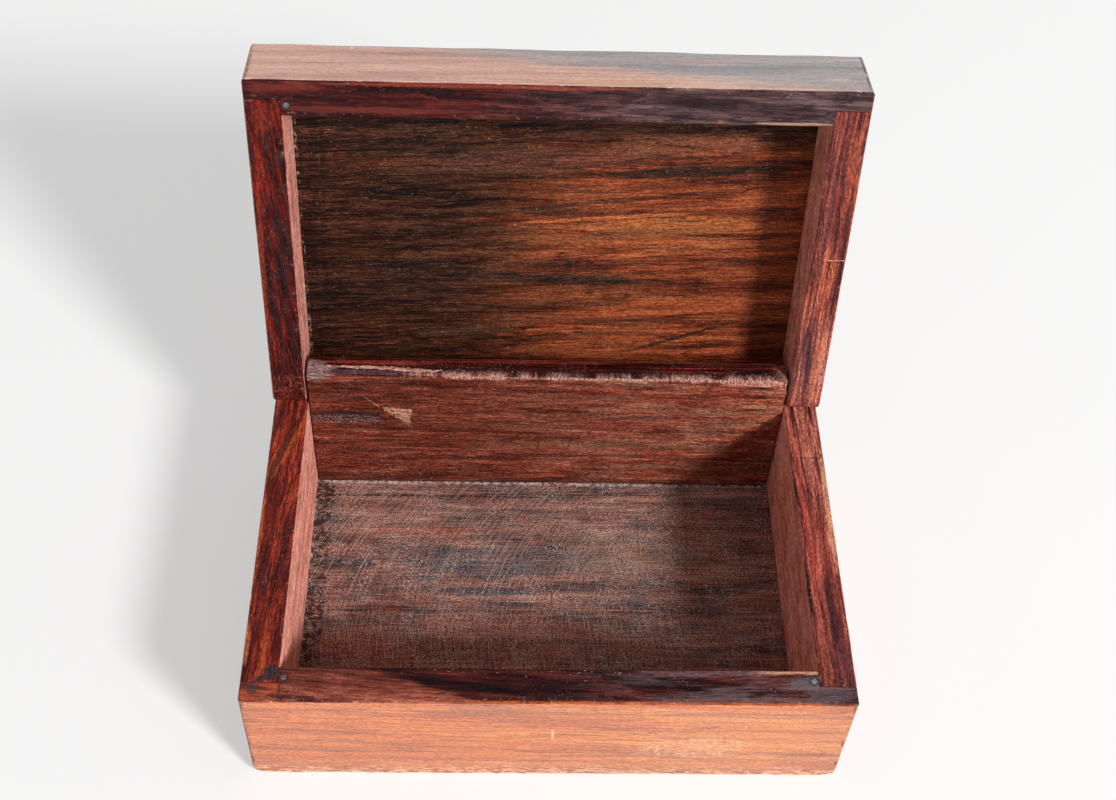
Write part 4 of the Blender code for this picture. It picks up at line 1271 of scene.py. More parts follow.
# %% Lid panel
def lid_panel_finish():
    """Dark and orange figure, streaks at their places, thin veins, and crumbs at the left edge."""
    f = Rosewood("lid_panel_rosewood", LID, ALONG_X, turn=(0, 0, -0.045), wander=3.2, reach=52)
    figure = f.figured((44, 4.2), (22, 0.5), 0.5)
    dark = f.tones(
        figure, (0.37, (0.003, 0.001, 0.001)), (0.47, (0.014, 0.004, 0.002)), (0.57, (0.046, 0.011, 0.005)),
        (0.69, (0.15, 0.048, 0.023)),
    )
    orange = f.tones(
        figure, (0.33, (0.012, 0.003, 0.003)), (0.42, (0.08, 0.013, 0.006)), (0.5, (0.19, 0.037, 0.013)),
        (0.6, (0.31, 0.074, 0.024)), (0.7, (0.5, 0.135, 0.045)),
    )
    bright = f.both(f.zone((1, 0.25, 0), -13, 26, 24, (34, 5, 6)), f.zone(BACK, -70, 6, 6, (30, 5, 6)))
    colour = f.mix(dark, orange, bright)
    hot = f.streaks(46, 2.2, 6.0, 0.62, at=(5, 5, 5))
    colour = f.stain(colour, f.both(bright, f.mask(hot, 0.53, 0.66)), (0.5, 0.095, 0.028), 0.5)
    colour = f.stains(colour, PANEL_STREAKS, (9, 0.9, 2))
    bands = f.noise((1.1, 30, 9), 2.0, 0.5, at=(1, 0, 0))
    column = f.both(f.zone(LEFT, 59.5, 1.2, 1.0, (1, 6, 3)), f.mask(bands, 0.42, 0.6))
    colour = f.stain(colour, column, (0.006, 0.003, 0.003), 0.75)
    middle = f.both(f.zone(RIGHT, -40, 14, 12, (20, 5, 6)), f.zone(LEFT, -34, 14, 12, (20, 5, 6)))
    smoky = f.mask(f.streaks(30, 3.2, 5.0, 0.6, at=(3, 9, 2)), 0.48, 0.6)
    colour = f.stain(colour, f.both(middle, smoky), (0.11, 0.046, 0.024), 0.4)
    light = f.streaks(20, 0.8, 5.0, 0.6, at=(6, 2, 8))
    colour = f.stain(colour, f.hairs(light, 0.022), (0.26, 0.1, 0.05), 0.35)
    veins = f.streaks(60, 5.5, 4.0, 0.55, at=(1, 7, 3))
    colour = f.stain(colour, f.hairs(veins, 0.016), (0.006, 0.003, 0.003), 0.6)
    crumbs = f.mask(f.noise((1.0, 1.6, 1.0), 5.0, 0.7), 0.5, 0.62)
    edge = f.zone(LEFT, 66.2, 0.25, 0.4, (1, 3, 1))
    colour = f.stain(colour, f.both(edge, crumbs), (0.36, 0.24, 0.16), 0.6)
    colour = f.dusted(colour, 0.72, 0.78, 0.4, (0.7, 0.62, 0.58), 0.8)
    colour = f.mix(colour, outside_tones(f, figure), f.zone(UP, 12.8, 0.2))
    colour, height = f.fibres(colour, 0.42, 8, 0.26, 0.4)
    return f.waxed(colour, height, figure, 0.45, 0.62)


lid_panel_wood = lid_panel_finish()

# %% [markdown]
# The walls of the two trays
#
# Each wall has the same section: an outer face, a rim, an inner face, and a rebate at the foot that holds
# the thin panel. Only its numbers differ. The lid's walls are the same boards upside down. Where a rebate
# or a lap ends on the way, one ring lies close before the step and one close behind it.

# %% Wall sections
SEAM = 0.3
HAIRLINE = 0.08
PANEL_LIP = 4.5
LAP = 5.5
REBATE_HEIGHT = 2.5
REBATE_LEFT = 0.05
RIM_ARRIS = 0.45
OUTER_ARRIS = 1.2
SEAM_ARRIS = 0.18
# The order of a wall's edges, and the number of points on each
FOOT, REBATE_SIDE, REBATE_TOP, INNER, TOP, OUTER = range(6)
WALL_SPANS = [5, 3, 4, 22, 14, 44]
# The arrises around a free end and around an end that is glued to another board
FREE_END = np.array([OUTER_ARRIS, SEAM_ARRIS, SEAM_ARRIS, SEAM_ARRIS, RIM_ARRIS, OUTER_ARRIS])
GLUED_END = np.full(6, SEAM_ARRIS)
# By what share the radii vary along the foot and along the rim
FOOT_VARIES = 0.25
RIM_VARIES = 0.5
# A step between two rings, and how near to it no other ring may lie
STEP_WIDTH = 1e-4
STEP_CLEARANCE = 0.2
FRONT_RINGS = 250


def line_of(stations):
    """The stations as points in space, for the noise."""
    return np.stack([stations, 0 * stations, 0 * stations], -1)


def wall_corners(outer, inner, foot, rim):
    """The wall's section, with the outer face at the lower number and the foot below the rim."""
    step_in = outer + PANEL_LIP - SEAM
    ledge = foot + REBATE_HEIGHT
    return [(outer, foot), (step_in, foot), (step_in, ledge), (inner, ledge), (inner, rim), (outer, rim)]


def wall_radii(stations, seed):
    """One radius for each corner and ring. The two arrises of the rim and the outer foot vary along."""
    line = line_of(stations)
    radii = np.full((len(stations), 6), SEAM_ARRIS)
    radii[:, FOOT] = OUTER_ARRIS * (1 + FOOT_VARIES * rough(line, 9, seed))
    radii[:, TOP] = RIM_ARRIS * (1 + RIM_VARIES * rough(line, 5, seed + 1))
    radii[:, OUTER] = RIM_ARRIS * (1 + RIM_VARIES * rough(line, 6, seed + 2))
    return radii


def doubled(stations, *places):
    """Stations with each of these places twice, as the near and the far side of a step."""
    extra = [place + sign * STEP_WIDTH for place in places for sign in (-1, 1)]
    kept = stations[np.all(np.abs(stations[:, None] - places) > STEP_CLEARANCE, 1)]
    return np.sort(np.concatenate([kept, extra]))


def front_section(half, side_inner, foot, rim, outer, inner, seed):
    """A front wall along X. The rebate at its ends, to lap over the side walls, is an inset of the inner
    edge beyond side_inner. Its own rebate for the panel stops short of the ends."""
    stop = half - PANEL_LIP + SEAM
    stations = doubled(np.linspace(-half, half, FRONT_RINGS), -stop, -side_inner, side_inner, stop)
    insets = np.zeros((len(stations), 6))
    insets[np.abs(stations) > side_inner, INNER] = inner - outer - LAP
    insets[np.abs(stations) > stop, REBATE_TOP] = REBATE_LEFT - REBATE_HEIGHT
    corners = wall_corners(outer, inner, foot, rim)
    return corners, WALL_SPANS, stations, insets, wall_radii(stations, seed), FREE_END, FREE_END


print("a wall has", sum(WALL_SPANS) + 6 * ARC_STEPS, "points around its section")

# %% [markdown]
# Wear that boards share
#
# No planed face is quite flat, and an arris loses small bites where the wood is weak. Both are noise: long
# waves over a face, and short bites that grow with the nearness to an arris.

# %% Waves and bites
WAVE_DEPTH = 0.05


def waves(points, size, seed, depth=WAVE_DEPTH):
    """Long noise, as a plane's iron leaves a face."""
    return depth * rough(points, size, seed)


def bites_of(points, size, seed, arris):
    """Between 0 and 1: a smooth step where short noise is high, times the cube of the nearness."""
    return step(rough(points, size, seed), 0.55, 0.9) * arris**3


print("waves are at most", np.abs(waves(cloud, 9, 3)).max().round(3), "mm deep")

# %% [markdown]
# The base's front board
#
# The front is the most handled board: its two lower corners are worn round, and the saw has torn fibres
# out of its bottom edge. Sculpting would do it once. Here the skin moves along its own normals by an
# amount worked out from the place, which keeps the board closed and is the same on every run.

# %% Base front board
front_low, front_high = box_of("base_front_wall")
FRONT_BITE = 0.25
CORNER_REACH = 2.2
CORNER_WEAR = 0.55
TORN_HEIGHT = 2.0


def base_front_wear(points, facing, arris):
    """The face is nearly flat. Small bites are missing along the arrises, the two lower corners are worn
    round, and the saw has torn fibres out of the bottom edge in short runs along the grain."""
    x, y, z = np.moveaxis(points, -1, 0)
    depth = waves(points, (30, 9, 9), 3)
    bites = bites_of(points, (1.3, 0.9, 0.9), 4, arris) * step(-y, 44, 49)
    depth -= FRONT_BITE * bites
    corner = np.exp(-(((front_high[0] - np.abs(x)) / CORNER_REACH) ** 2) - (z / CORNER_REACH) ** 2)
    depth -= CORNER_WEAR * corner
    runs = 0.6 * rough(points, (14, 30, 30), 5) + 0.4 * rough(points, (3, 30, 30), 6)
    edge = TORN_HEIGHT + 1.6 * runs + 0.8 * rough(points, (1.5, 9, 1), 8)
    torn = step(edge - z, 0, 0.8) * step(-facing[..., 1], 0.2, 0.6)
    fibre = 0.5 + 0.5 * rough(points, (2.4, 4, 0.4), 7)
    depth -= torn * (0.08 + 0.22 * fibre)
    return depth, np.maximum(0.75 * torn * step(fibre, 0.45, 0.75), 0.2 * bites)


section = front_section(front_high[0], -base_side_high[0] - HAIRLINE, 0, RIM, front_low[1], front_high[1], 20)
board("base_front_board", "base_front_wall", BASE, front_wood, "yzx", section, base_front_wear)

# %% [markdown]
# The base's side boards
#
# The two sides are mirror images. A Mirror modifier would repeat the wear too, so the section is worked out
# twice, each time with its own seed, and a sign turns one into the other. Towards the front a side runs
# under the lap, where its arris is still sharp.

# %% Base side boards
SIDE_BITE = 0.16
SIDE_RINGS = 150


def base_side_section(seed):
    """A base side along Y. Its rebate stops before the rear end."""
    rear_stop, front_stop = REAR - PANEL_LIP + SEAM, front_high[1]
    along = np.linspace(base_side_low[1] - SEAM + HAIRLINE, REAR, SIDE_RINGS)
    stations = doubled(along, rear_stop, front_stop)
    insets = np.zeros((len(stations), 6))
    insets[stations > rear_stop, REBATE_TOP] = REBATE_LEFT - REBATE_HEIGHT
    radii = wall_radii(stations, seed)
    radii[stations < front_stop, TOP] = SEAM_ARRIS / 2
    corners = wall_corners(base_side_low[0], base_side_high[0], 0, RIM)
    return corners, WALL_SPANS, stations, insets, radii, GLUED_END, FREE_END


def side_wear(points, facing, arris):
    """Nearly flat faces, and small bites where the noise is high, deeper the nearer the arris is."""
    bites = bites_of(points, (0.9, 1.3, 0.9), 9, arris)
    return waves(points, (9, 30, 9), 3) - SIDE_BITE * bites, 0.3 * bites


for side, mirrored in (("left", False), ("right", True)):
    name, section = f"base_{side}_board", base_side_section(30 + mirrored)
    board(name, f"base_{side}_wall", BASE, side_wood, "xzy", section, side_wear, mirrored)

# %% [markdown]
# The back board's section
#
# The back board stands taller than the rim, and its top is an arc about the hinge line, so that the lid can
# turn around it. Two tangents of the arc meet above it, and that meeting point is one more corner of the
# section, rounded like the others but with a radius of several millimetres.

# %% Section of the back board
CROWN_RADIUS = 7.8
BACK_SPANS = [3, 14, 3, 8, 90, 3, 3]
BACK_RADII = [SEAM_ARRIS, OUTER_ARRIS, 0.8, 6.6, 0.7, SEAM_ARRIS, SEAM_ARRIS]
BACK_ENDS = np.array([0.3, 0.3, 0.5, 0.5, 0.3, 0.3, 0.2])
BACK_RINGS = 330
# Further rings where the flake is missing: from, to, how many
FLAKE_RINGS = -47, -36, 40
FRONT_TOP = 4
back_low, back_high = box_of("base_back_wall")


def back_section():
    """Angles of the arc's ends from the top: asin(distance / radius). Both tangents are
    radius * tan(half the arc) long. More stations lie where the flake is missing."""
    y, z = HINGE_LINE[1:]
    front, rear = back_low[1], back_high[1]
    first, last = math.asin((y - front) / CROWN_RADIUS), math.asin((rear - y) / CROWN_RADIUS)
    tangent = CROWN_RADIUS * math.tan((first + last) / 2)
    front_top = (front, z + CROWN_RADIUS * math.cos(first))
    rear_top = (rear, z + CROWN_RADIUS * math.cos(last))
    apex = (front + tangent * math.cos(first), front_top[1] + tangent * math.sin(first))
    step_in = rear - PANEL_LIP + SEAM
    upper = [rear_top, apex, front_top]
    corners = [(step_in, 0), (rear, 0), *upper, (front, REBATE_HEIGHT), (step_in, REBATE_HEIGHT)]
    half = back_high[0]
    stations = np.sort(np.concatenate([np.linspace(-half, half, BACK_RINGS), np.linspace(*FLAKE_RINGS)]))
    radii = np.tile(BACK_RADII, (len(stations), 1))
    radii[:, FRONT_TOP] *= 1 + RIM_VARIES * rough(line_of(stations), 6, 41)
    return corners, BACK_SPANS, stations, np.zeros((len(stations), 7)), radii, BACK_ENDS, BACK_ENDS


print("the crown is", round(HINGE_LINE[2] + CROWN_RADIUS - RIM, 1), "mm higher than the rim")

# %% [markdown]
# Damage on the back board
#
# The photographed box has three old wounds here: a long splinter torn off along the crown, a flake off the
# face, and a broken right end. Each is a mask between 0 and 1 times a depth. The masks also go into the
# attribute that tells the finish where the wood is bare.

# %% Back board with its damage
CHIP = [(-46.6, 36.7), (-37.4, 36.3), (-38.8, 29.0)]
# Where the splinter's bed lies: distances around the crown from its top, at four places along it
BED_PLACES, BED_AROUND = [-56, -40, -20, 66], [1.2, 2.4, 3.0, 3.4]
BREAK_DEPTH = 0.9


def chip(x, z):
    """A flake that split off. 1 where the distance from each of three straight edges is inwards."""
    inside = 1.0
    for (ax, az), (bx, bz) in zip(CHIP, CHIP[1:] + CHIP[:1]):
        length = math.hypot(bx - ax, bz - az)
        away = ((x - ax) * (bz - az) - (z - az) * (bx - ax)) / length
        inside = inside * step(away, -0.1, 0.35)
    return inside


def back_wear(points, facing, arris):
    """A long splinter has torn off along the crown, a flake is missing from the face, and the right end
    is broken. The splinter's bed runs from the crown's top on the left to its front arris on the right."""
    x, y, z = np.moveaxis(points, -1, 0)
    depth = waves(points, (30, 9, 9), 13)
    around = CROWN_RADIUS * np.arctan2(HINGE_LINE[1] - y, z - HINGE_LINE[2])
    upper = step(z, 47, 49)
    bed = np.interp(x, BED_PLACES, BED_AROUND) + 0.35 * rough(points, (6, 99, 99), 14)
    width = 0.38 + 0.3 * rough(points, (4, 99, 99), 15) + 0.28 * rough(points, (0.8, 99, 99), 16)
    width += 0.2 * step(x, 20, 40) - 0.08 * step(-x, 34, 44)
    tear = step(width - np.abs(around - bed), -0.2, 0.25) * upper * step(x, -58, -48)
    tufts = 0.5 + 0.5 * rough(points, (0.5, 9, 9), 17)
    depth -= tear * (0.12 + 0.28 * tufts)
    ragged = 0.5 * rough(points, (1.4, 9, 0.7), 18) + 0.4 * rough(points, (0.6, 9, 0.35), 22)
    flake = chip(x + ragged, z + 0.6 * ragged) * step(-facing[..., 1], 0.5, 0.9)
    depth -= flake * (0.3 + 0.25 * step(z, 36.5, 30) + 0.15 * rough(points, (0.8, 9, 0.5), 19))
    broken = step(x, 61.5, 65.5) * step(z + 1.2 * rough(points, (2, 2, 2), 20), 45.5, 48)
    depth -= BREAK_DEPTH * broken * (0.6 + 0.4 * rough(points, (1, 1, 1), 21))
    return depth, np.maximum(np.maximum(0.9 * tear, 0.8 * flake), 0.35 * broken)


board("base_back_board", "base_back_wall", BASE, back_wood, "yzx", back_section(), back_wear)

# %% [markdown]
# The floor panel
#
# The floor is a thin board let into the walls' rebates, and only its upper face shows. Its section is a
# plain rectangle with hardly rounded arrises, and the face is a little wavy, as a sawn board is.

# %% Floor panel
floor_low, floor_high = box_of("base_floor_panel")
PANEL_SPANS = [12, 3, 60, 3]
PANEL_ARRIS = 0.25
PANEL_END_ARRIS = 0.2
PANEL_RINGS = 90
FLOOR_WAVE = 0.07


def panel_section(low, high):
    """A rectangle across Y and Z, carried along X."""
    corners = [(low[1], low[2]), (high[1], low[2]), (high[1], high[2]), (low[1], high[2])]
    stations = np.linspace(low[0], high[0], PANEL_RINGS)
    shape, ends = (PANEL_RINGS, 4), np.full(4, PANEL_END_ARRIS)
    return corners, PANEL_SPANS, stations, np.zeros(shape), np.full(shape, PANEL_ARRIS), ends, ends


def floor_wear(points, facing, arris):
    """Waves on the upper face alone."""
    depth = waves(points, (26, 18, 9), 23, FLOOR_WAVE) * step(facing[..., 2], 0.2, 0.8)
    return depth, 0 * depth


section = panel_section(floor_low, floor_high)
board("base_floor_board", "base_floor_panel", BASE, floor_wood, "yzx", section, floor_wear)

# %% [markdown]
# The lid's front board
#
# The lid is built like the base, from lower boards. Its boards are worked out with the rim up, as on the
# base, so a height is minus the height in the lid's own frame.

# %% Lid front board
lid_low, lid_high = shut_box("lid_front_wall")
lid_side_low, lid_side_high = shut_box("lid_left_wall")
LID_RIM, LID_TOP = lid_low[2], lid_high[2]
LID_BITE = 0.2


def lid_front_wear(points, facing, arris):
    """Nearly flat, with small bites along the arrises."""
    bites = bites_of(points, (1.5, 0.9, 0.9), 34, arris)
    return waves(points, (30, 9, 9), 33) - LID_BITE * bites, 0.3 * bites


across = lid_low[1], lid_high[1]
section = front_section(lid_high[0], -lid_side_high[0] - HAIRLINE, -LID_TOP, -LID_RIM, *across, 50)
board("lid_front_board", "lid_front_wall", LID, lid_front_wood, "yzx", section, lid_front_wear)

# %% [markdown]
# The lid's side boards
#
# The rear ends of the lid's sides turn past the base's rim, so their rims are rounded about the hinge line.
# On the way to the end, each ring of the section takes a little off the rim: the inset is the radius minus
# the height of the circle there.

# %% Lid side boards
LID_SIDE_RINGS = 140
TURN_RINGS = 14


def lid_side_section(seed):
    """A lid side along Y. Behind the hinge line the rim's inset is radius - sqrt(radius^2 - y^2), and the
    stations lie at equal angles on the circle."""
    radius = -LID_RIM
    low, high = lid_side_low[1], lid_side_high[1]
    front_stop = lid_high[1]
    straight = doubled(np.linspace(low - SEAM + HAIRLINE, 0, LID_SIDE_RINGS)[:-1], front_stop)
    angles = np.linspace(0, math.asin(high / radius), TURN_RINGS)
    stations = np.concatenate([straight, radius * np.sin(angles)])
    insets = np.zeros((len(stations), 6))
    insets[:, TOP] = radius - np.sqrt(radius**2 - np.clip(stations, 0, high) ** 2)
    radii = wall_radii(stations, seed)
    radii[stations < front_stop, TOP] = SEAM_ARRIS / 2
    corners = wall_corners(lid_side_low[0], lid_side_high[0], -LID_TOP, radius)
    return corners, WALL_SPANS, stations, insets, radii, GLUED_END, FREE_END


for side, mirrored in (("left", False), ("right", True)):
    name, section = f"lid_{side}_board", lid_side_section(60 + mirrored)
    board(name, f"lid_{side}_wall", LID, lid_side_wood, "xzy", section, side_wear, mirrored)

# %% [markdown]
# Better finishes on the panel and the rail
#
# The lid's panel, with its grooves for the inlay, and the rail behind it are plain planed boards. Their
# solids already have the right shape, so they stay, and only take a better finish.

# %% Finishes on the solids that stay
for name in ("lid_top_panel", "lid_rear_rail"):
    frame["nodes"][name].data.materials.clear()
    frame["nodes"][name].data.materials.append(lid_panel_wood)
    print(name, "keeps its solid")

# %% [markdown]
# Inlay on the lid
#
# A banding is a strip of pale wood glued into a groove and scraped flush, mitred at the corners. The
# lozenge is sawn from a pale and a black wood. Both woods are finer than rosewood: faint streaks, hardly
# any pores, and dark wax along their edges. The grain of a strip follows its length.

# %% Two inlay woods
PALE = (0.36, (0.58, 0.37, 0.17)), (0.5, (0.72, 0.49, 0.25)), (0.66, (0.84, 0.63, 0.37))
DARK = (0.36, (0.01, 0.008, 0.008)), (0.52, (0.022, 0.016, 0.014)), (0.68, (0.05, 0.035, 0.028))


def inlay_finish(name, tones, along):
    """Faint streaks along the strip, fine fibres, and dark wax on the arrises."""
    f = Rosewood(name, LID, along, wander=1.0, reach=30)
    figure = f.streaks(30, 0.7, 6.0, 0.65)
    colour = f.tones(figure, *tones)
    colour, height = f.fibres(colour, 0.12, 6, 0.22, 0.08, 0.25)
    colour = f.dusted(colour, 0.7, 0.78, 0.4, (0.3, 0.2, 0.12), 0.5)
    edge = f.both(f.own("arris"), f.mask(f.noise((1.5, 1.5, 1.5), 3.0), 0.4, 0.6))
    return f.waxed(f.stain(colour, edge, (0.1, 0.05, 0.03), 0.6), height, figure, 0.34, 0.48)


pale_across = inlay_finish("pale_inlay_x", PALE, ALONG_X)
pale_along = inlay_finish("pale_inlay_y", PALE, ALONG_Y)
dark_across = inlay_finish("dark_inlay_x", DARK, ALONG_X)

# %% [markdown]
# Inlay pieces
#
# Each piece is its outline carried upwards like a very short board, so the same skin serves, whatever the
# number of corners. It swells by almost the gap that the solids keep, because glued inlay shows only a
# hairline.

# %% Bandings and lozenge
INLAY_SWELL = 0.24
INLAY_WAVE = 0.01
INLAY_ARRIS = 0.05
INLAY_TOP_ARRIS = 0.06
INLAY_FOOT_ARRIS = 0.02
INLAY_POINTS = 24
INLAY_RINGS = 4


def outline_of(node):
    """The node's corners seen from above in the lid's own frame, in order around the middle."""
    points = shut_points(node)
    corners = np.unique(points[:, :2].round(2), axis=0)
    away = corners - corners.mean(0)
    return corners[np.argsort(np.arctan2(away[:, 1], away[:, 0]))], points[:, 2].min(), points[:, 2].max()


def flat_wear(points, facing, arris):
    """Scraped flush, so hardly uneven."""
    depth = waves(points, (6, 6, 6), 70, INLAY_WAVE)
    return depth, 0 * depth


def inlay(node, material):
    """The node's outline, pushed out by the swell, carried from its lower to its upper face."""
    corners, low, high = outline_of(node)
    count = len(corners)
    stations = np.linspace(-high, -low, INLAY_RINGS)
    insets, radii = np.full((INLAY_RINGS, count), -INLAY_SWELL), np.full((INLAY_RINGS, count), INLAY_ARRIS)
    top_arris, foot_arris = np.full(count, INLAY_TOP_ARRIS), np.full(count, INLAY_FOOT_ARRIS)
    section = corners, [INLAY_POINTS] * count, stations, insets, radii, top_arris, foot_arris
    board(node + "_inlay", node, LID, material, "xyz", section, flat_wear)


for node, slot, material in (
    ("banding_front", "pale_inlay", pale_across), ("banding_rear", "pale_inlay", pale_across),
    ("banding_left", "pale_inlay", pale_along), ("banding_right", "pale_inlay", pale_along),
    ("lozenge_front_left", "pale_inlay", pale_across), ("lozenge_rear_right", "pale_inlay", pale_across),
    ("lozenge_front_right", "dark_inlay", dark_across), ("lozenge_rear_left", "dark_inlay", dark_across),
):
    inlay(node, material)

# %% [markdown]
# Pins
#
# Small iron pins hold the corners, and two longer ones are the hinge. Their heads are dull and spotted with
# rust. The one in the lid's right corner is so dark that it hardly shows, so the tone is an argument. Fine
# noise drawn out one way makes the file's marks in the bump.

# %% Pin metal
METAL = 0.6


def pin_finish(name, tone, body):
    """Iron from a third of its tone to half as much again, with rust where a second noise is high."""
    f = Finish(name, body)
    f.shader.inputs["Metallic"].default_value = METAL
    scale = f.noise((0.5, 0.5, 0.5), 4.0, 0.65)
    dark = tuple(0.35 * part for part in tone)
    colour = f.tones(scale, (0.38, dark), (0.52, tone), (0.7, tuple(min(1, 1.5 * part) for part in tone)))
    rust = f.noise((0.8, 0.8, 0.8), 3.0, 0.6, at=(3, 1, 2))
    colour = f.mix(colour, (0.14, 0.06, 0.035), f.mask(rust, 0.56, 0.7, 0, 0.7))
    marks = f.noise((0.08, 1.2, 0.08), 2.0, 0.5, turn=(0, 0, 0.5))
    height = f.times_plus(marks, 0.02, f.math("MULTIPLY", scale, 0.02))
    return f.done(colour, f.mask(scale, 0.35, 0.65, 0.6, 0.38), height)


dull_iron = pin_finish("pin_iron", (0.165, 0.14, 0.135), BASE)
lid_iron = pin_finish("pin_iron_lid", (0.17, 0.18, 0.19), LID)
dark_iron = pin_finish("pin_iron_dark", (0.07, 0.05, 0.054), LID)
# The base's right pin is a brighter copy of the iron: partly its own tone, partly a painted highlight
glinting_iron = pin_finish("pin_iron_glint", (0.3, 0.3, 0.32), BASE)

# %% [markdown]
# Turned pins
#
# A pin was filed almost flush, so its head is a slightly domed disc with a rubbed rim. A turned piece is a
# profile, distance from the axis against height, carried around the axis. Each pole is one point, closed
# with a fan of triangles, because a ring of no size would leave a hole or doubled points.

# %% Pins turned about their axis
PIN_STEPS = 28
PROUD = 0.24
DOME = 0.02
CHAMFER = 0.15
HEAD_ROUND = 0.12
# How far below the wood's face the head begins to lean in, in two steps
SHOULDER = 0.08, 0.02
DENT = 0.012
DENT_SIZE = 0.5


def pin_profile(radius, length):
    """Distances and heights: a chamfer at the hidden end, the shank, a rounded rim, and a dome whose height
    falls with the square of the distance."""
    inner = np.linspace(radius - HEAD_ROUND, 0, 6)[1:]
    rim = [radius - HEAD_ROUND / 3, radius - HEAD_ROUND]
    reach = np.concatenate([[0, radius - CHAMFER], np.full(3, radius), rim, inner])
    shank = [0, 0, CHAMFER, length / 2, length - SHOULDER[0], length - SHOULDER[1], length + PROUD]
    return reach, np.concatenate([shank, length + PROUD + DOME * (1 - (inner / radius) ** 2)])


def turned_faces(rings, flipped):
    """Quads between rings of PIN_STEPS points, and a fan to each pole. The poles are the last two points."""
    here = np.arange(PIN_STEPS)
    after = (here + 1) % PIN_STEPS
    pole, last = np.full(PIN_STEPS, rings * PIN_STEPS), (rings - 1) * PIN_STEPS
    foot = np.stack([pole, after, here], -1)
    head = np.stack([pole + 1, last + here, last + after], -1)
    faces = quads_between(rings, PIN_STEPS).tolist() + foot.tolist() + head.tolist()
    return [face[::-1] for face in faces] if flipped else faces


def pin(node, body, material, axis, sign):
    """The profile turned about the axis by (cos a, sin a), with its head at the end that sign names."""
    low, high = shut_box(node) if body == LID else box_of(node)
    k = "xyz".index(axis)
    across, up = (k + 1) % 3, (k + 2) % 3
    centre, size = (low + high) / 2, high - low
    reach, rise = pin_profile(size[across] / 2, size[k])
    angle = np.linspace(0, 2 * np.pi, PIN_STEPS, endpoint=False)
    side, away = reach[:, None] * np.cos(angle), reach[:, None] * np.sin(angle)
    dents = DENT * rough(np.stack([side, away, 0 * side], -1), DENT_SIZE, 80)
    on_head = rise[:, None] > size[k]
    points = np.empty((*side.shape, 3))
    points[..., across], points[..., up] = centre[across] + side, centre[up] + away
    points[..., k] = (low[k] if sign > 0 else high[k]) + sign * (rise[:, None] + dents * on_head)
    placed = opened(points) if body == LID else points
    vertices = np.vstack([placed[1:-1].reshape(-1, 3), placed[[0, -1], 0]])
    faces = turned_faces(len(reach) - 2, sign < 0)
    piece_from(node + "_turned", vertices, faces, {}, material, body, node)


pin("base_corner_pin_left", BASE, dull_iron, "z", 1)
pin("base_corner_pin_right", BASE, glinting_iron, "z", 1)
pin("lid_corner_pin_left", LID, lid_iron, "z", -1)
pin("lid_corner_pin_right", LID, dark_iron, "z", -1)
pin("hinge_pin_left", BASE, dull_iron, "x", -1)
pin("hinge_pin_right", BASE, dull_iron, "x", 1)

# %% [markdown]
# A pale floor
#
# The box stands on white paper. More light would make the paper white, but would burn out the wood too. So
# for the rays that are seen, the paper glows a little, and it still keeps most of the box's shadow.

# %% Paper
PAPER = (0.94, 0.93, 0.925, 1)
PAPER_GLOW = 0.46


def seen_rays(tree):
    """1 for what the camera sees itself, or in gloss or through glass, and 0 for light on the object."""
    rays = tree.nodes.new("ShaderNodeLightPath")
    largest = rays.outputs["Is Camera Ray"]
    for kind in ("Is Glossy Ray", "Is Transmission Ray"):
        pick = tree.nodes.new("ShaderNodeMath")
        pick.operation = "MAXIMUM"
        tree.links.new(largest, pick.inputs[0])
        tree.links.new(rays.outputs[kind], pick.inputs[1])
        largest = pick.outputs[0]
    return largest


def paper_finish():
    """Matt paper, mixed with a glow of strength 1 by PAPER_GLOW for the rays that are seen."""
    material = bpy.data.materials.new("stage_paper")
    material.use_nodes = True
    tree = material.node_tree
    matt = tree.nodes["Principled BSDF"]
    matt.inputs["Base Color"].default_value = PAPER
    matt.inputs["Roughness"].default_value = 0.9
    matt.inputs["Specular IOR Level"].default_value = 0.0
    glow, weight, blend = (tree.nodes.new("ShaderNode" + kind) for kind in ("Emission", "Math", "MixShader"))
    weight.operation = "MULTIPLY"
    weight.inputs[1].default_value = PAPER_GLOW
    surface = tree.nodes["Material Output"].inputs["Surface"]
    for source, socket in (
        (seen_rays(tree), weight.inputs[0]), (weight.outputs[0], blend.inputs[0]),
        (matt.outputs[0], blend.inputs[1]), (glow.outputs[0], blend.inputs[2]), (blend.outputs[0], surface),
    ):
        tree.links.new(source, socket)
    return material


paper = paper_finish()
print("the paper has", len(paper.node_tree.nodes), "nodes")

# %% [markdown]
# The floor itself
#
# A flat grid is enough. It lies a tenth of a millimetre low, so that it never flickers through the box's
# underside.

# %% Floor
FLOOR_REACH = 2.0
FLOOR_DROP = 0.0001
side = np.linspace(-FLOOR_REACH, FLOOR_REACH, 3)
floor_points = np.stack([*(part.ravel() for part in np.meshgrid(side, side)), np.full(9, -FLOOR_DROP)], -1)
floor_mesh = bpy.data.meshes.new("stage_floor")
floor_mesh.from_pydata(floor_points.tolist(), [], [(0, 1, 4, 3), (1, 2, 5, 4), (3, 4, 7, 6), (4, 5, 8, 7)])
floor_mesh.materials.append(paper)
floor = bpy.data.objects.new("stage_floor", floor_mesh)
bpy.context.scene.collection.objects.link(floor)
print("floor of", 2 * FLOOR_REACH, "m")

# %% [markdown]
# Light
#
# The photographed box stood in the sun, which came from the front right, so the key lamp comes from there,
# but as a soft disc. The world fills the shadows evenly. Both together bring the colours out about as they
# are written. What the camera sees of the world is a pale grey.

# %% Key lamp and world
KEY_DIRECTION = Vector((1.0, -1.046, 1.053)).normalized()
KEY_DISTANCE = 3.0
KEY_SIZE = 0.62
KEY_POWER = 97.0
FILL = 0.4
PALE_SKY = 0.97

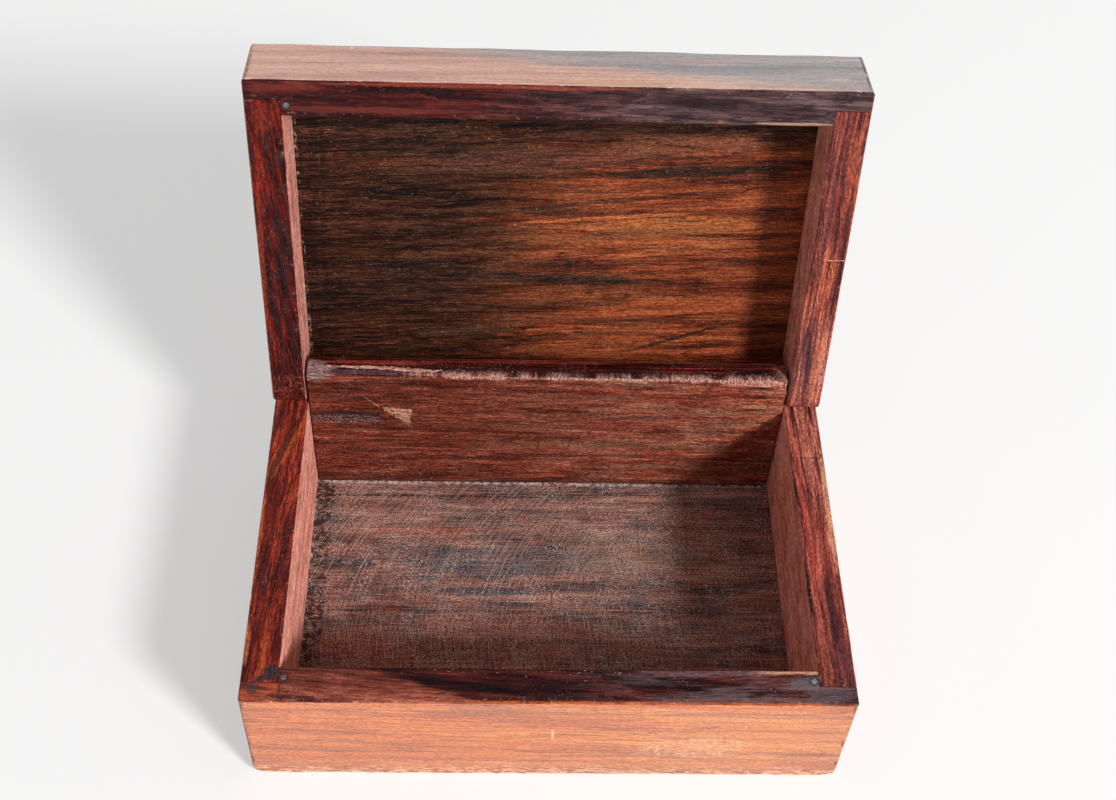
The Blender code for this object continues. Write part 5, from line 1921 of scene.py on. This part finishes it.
key_data = bpy.data.lights.new("key", "AREA")
key_data.shape = "DISK"
key_data.size = KEY_SIZE
key_data.energy = KEY_POWER
key = bpy.data.objects.new("key", key_data)
key.location = KEY_DIRECTION * KEY_DISTANCE
key.rotation_euler = KEY_DIRECTION.to_track_quat("Z", "Y").to_euler()
bpy.context.scene.collection.objects.link(key)

world = bpy.data.worlds.new("studio")
bpy.context.scene.world = world
world.use_nodes = True
tree = world.node_tree
tree.nodes.clear()


def sky(strength):
    """A background of one strength, before the mixer picks one."""
    light = tree.nodes.new("ShaderNodeBackground")
    light.inputs["Strength"].default_value = strength
    return light.outputs[0]


mixer = tree.nodes.new("ShaderNodeMixShader")
output = tree.nodes.new("ShaderNodeOutputWorld")
for index, source in enumerate((seen_rays(tree), sky(FILL), sky(PALE_SKY))):
    tree.links.new(source, mixer.inputs[index])
tree.links.new(mixer.outputs[0], output.inputs["Surface"])
print("key lamp at", [round(part, 2) for part in key.location])

# %% [markdown]
# Camera
#
# The camera looks from the front and above, at the angle the box was photographed at. The place and the
# three angles come from fitting a pinhole camera to the box's corners. The focal length is given as a
# multiple of the picture's width, so it holds for any sensor.

# %% Camera
SENSOR = 36
FOCAL_WIDTHS = 1.4589
CAMERA_PLACE = (-0.01396, -0.24606, 0.39104)
PITCH, YAW, ROLL = (math.radians(angle) for angle in (50.385, -3.327, 3.37))

camera_data = bpy.data.cameras.new("camera")
camera_data.sensor_width = SENSOR
camera_data.lens = SENSOR * FOCAL_WIDTHS
camera = bpy.data.objects.new("camera", camera_data)
bpy.context.scene.collection.objects.link(camera)
bpy.context.scene.camera = camera
upright = Matrix.Rotation(math.pi / 2 - PITCH, 4, "X")
turn = Matrix.Rotation(YAW, 4, "Z") @ upright @ Matrix.Rotation(ROLL, 4, "Z")
camera.matrix_world = Matrix.Translation(CAMERA_PLACE) @ turn
bpy.context.scene.view_settings.view_transform = "Standard"
print("camera looks down by", round(math.degrees(PITCH), 1), "degrees")

# %% [markdown]
# Sizes
#
# The finished pieces may not outgrow the solids.
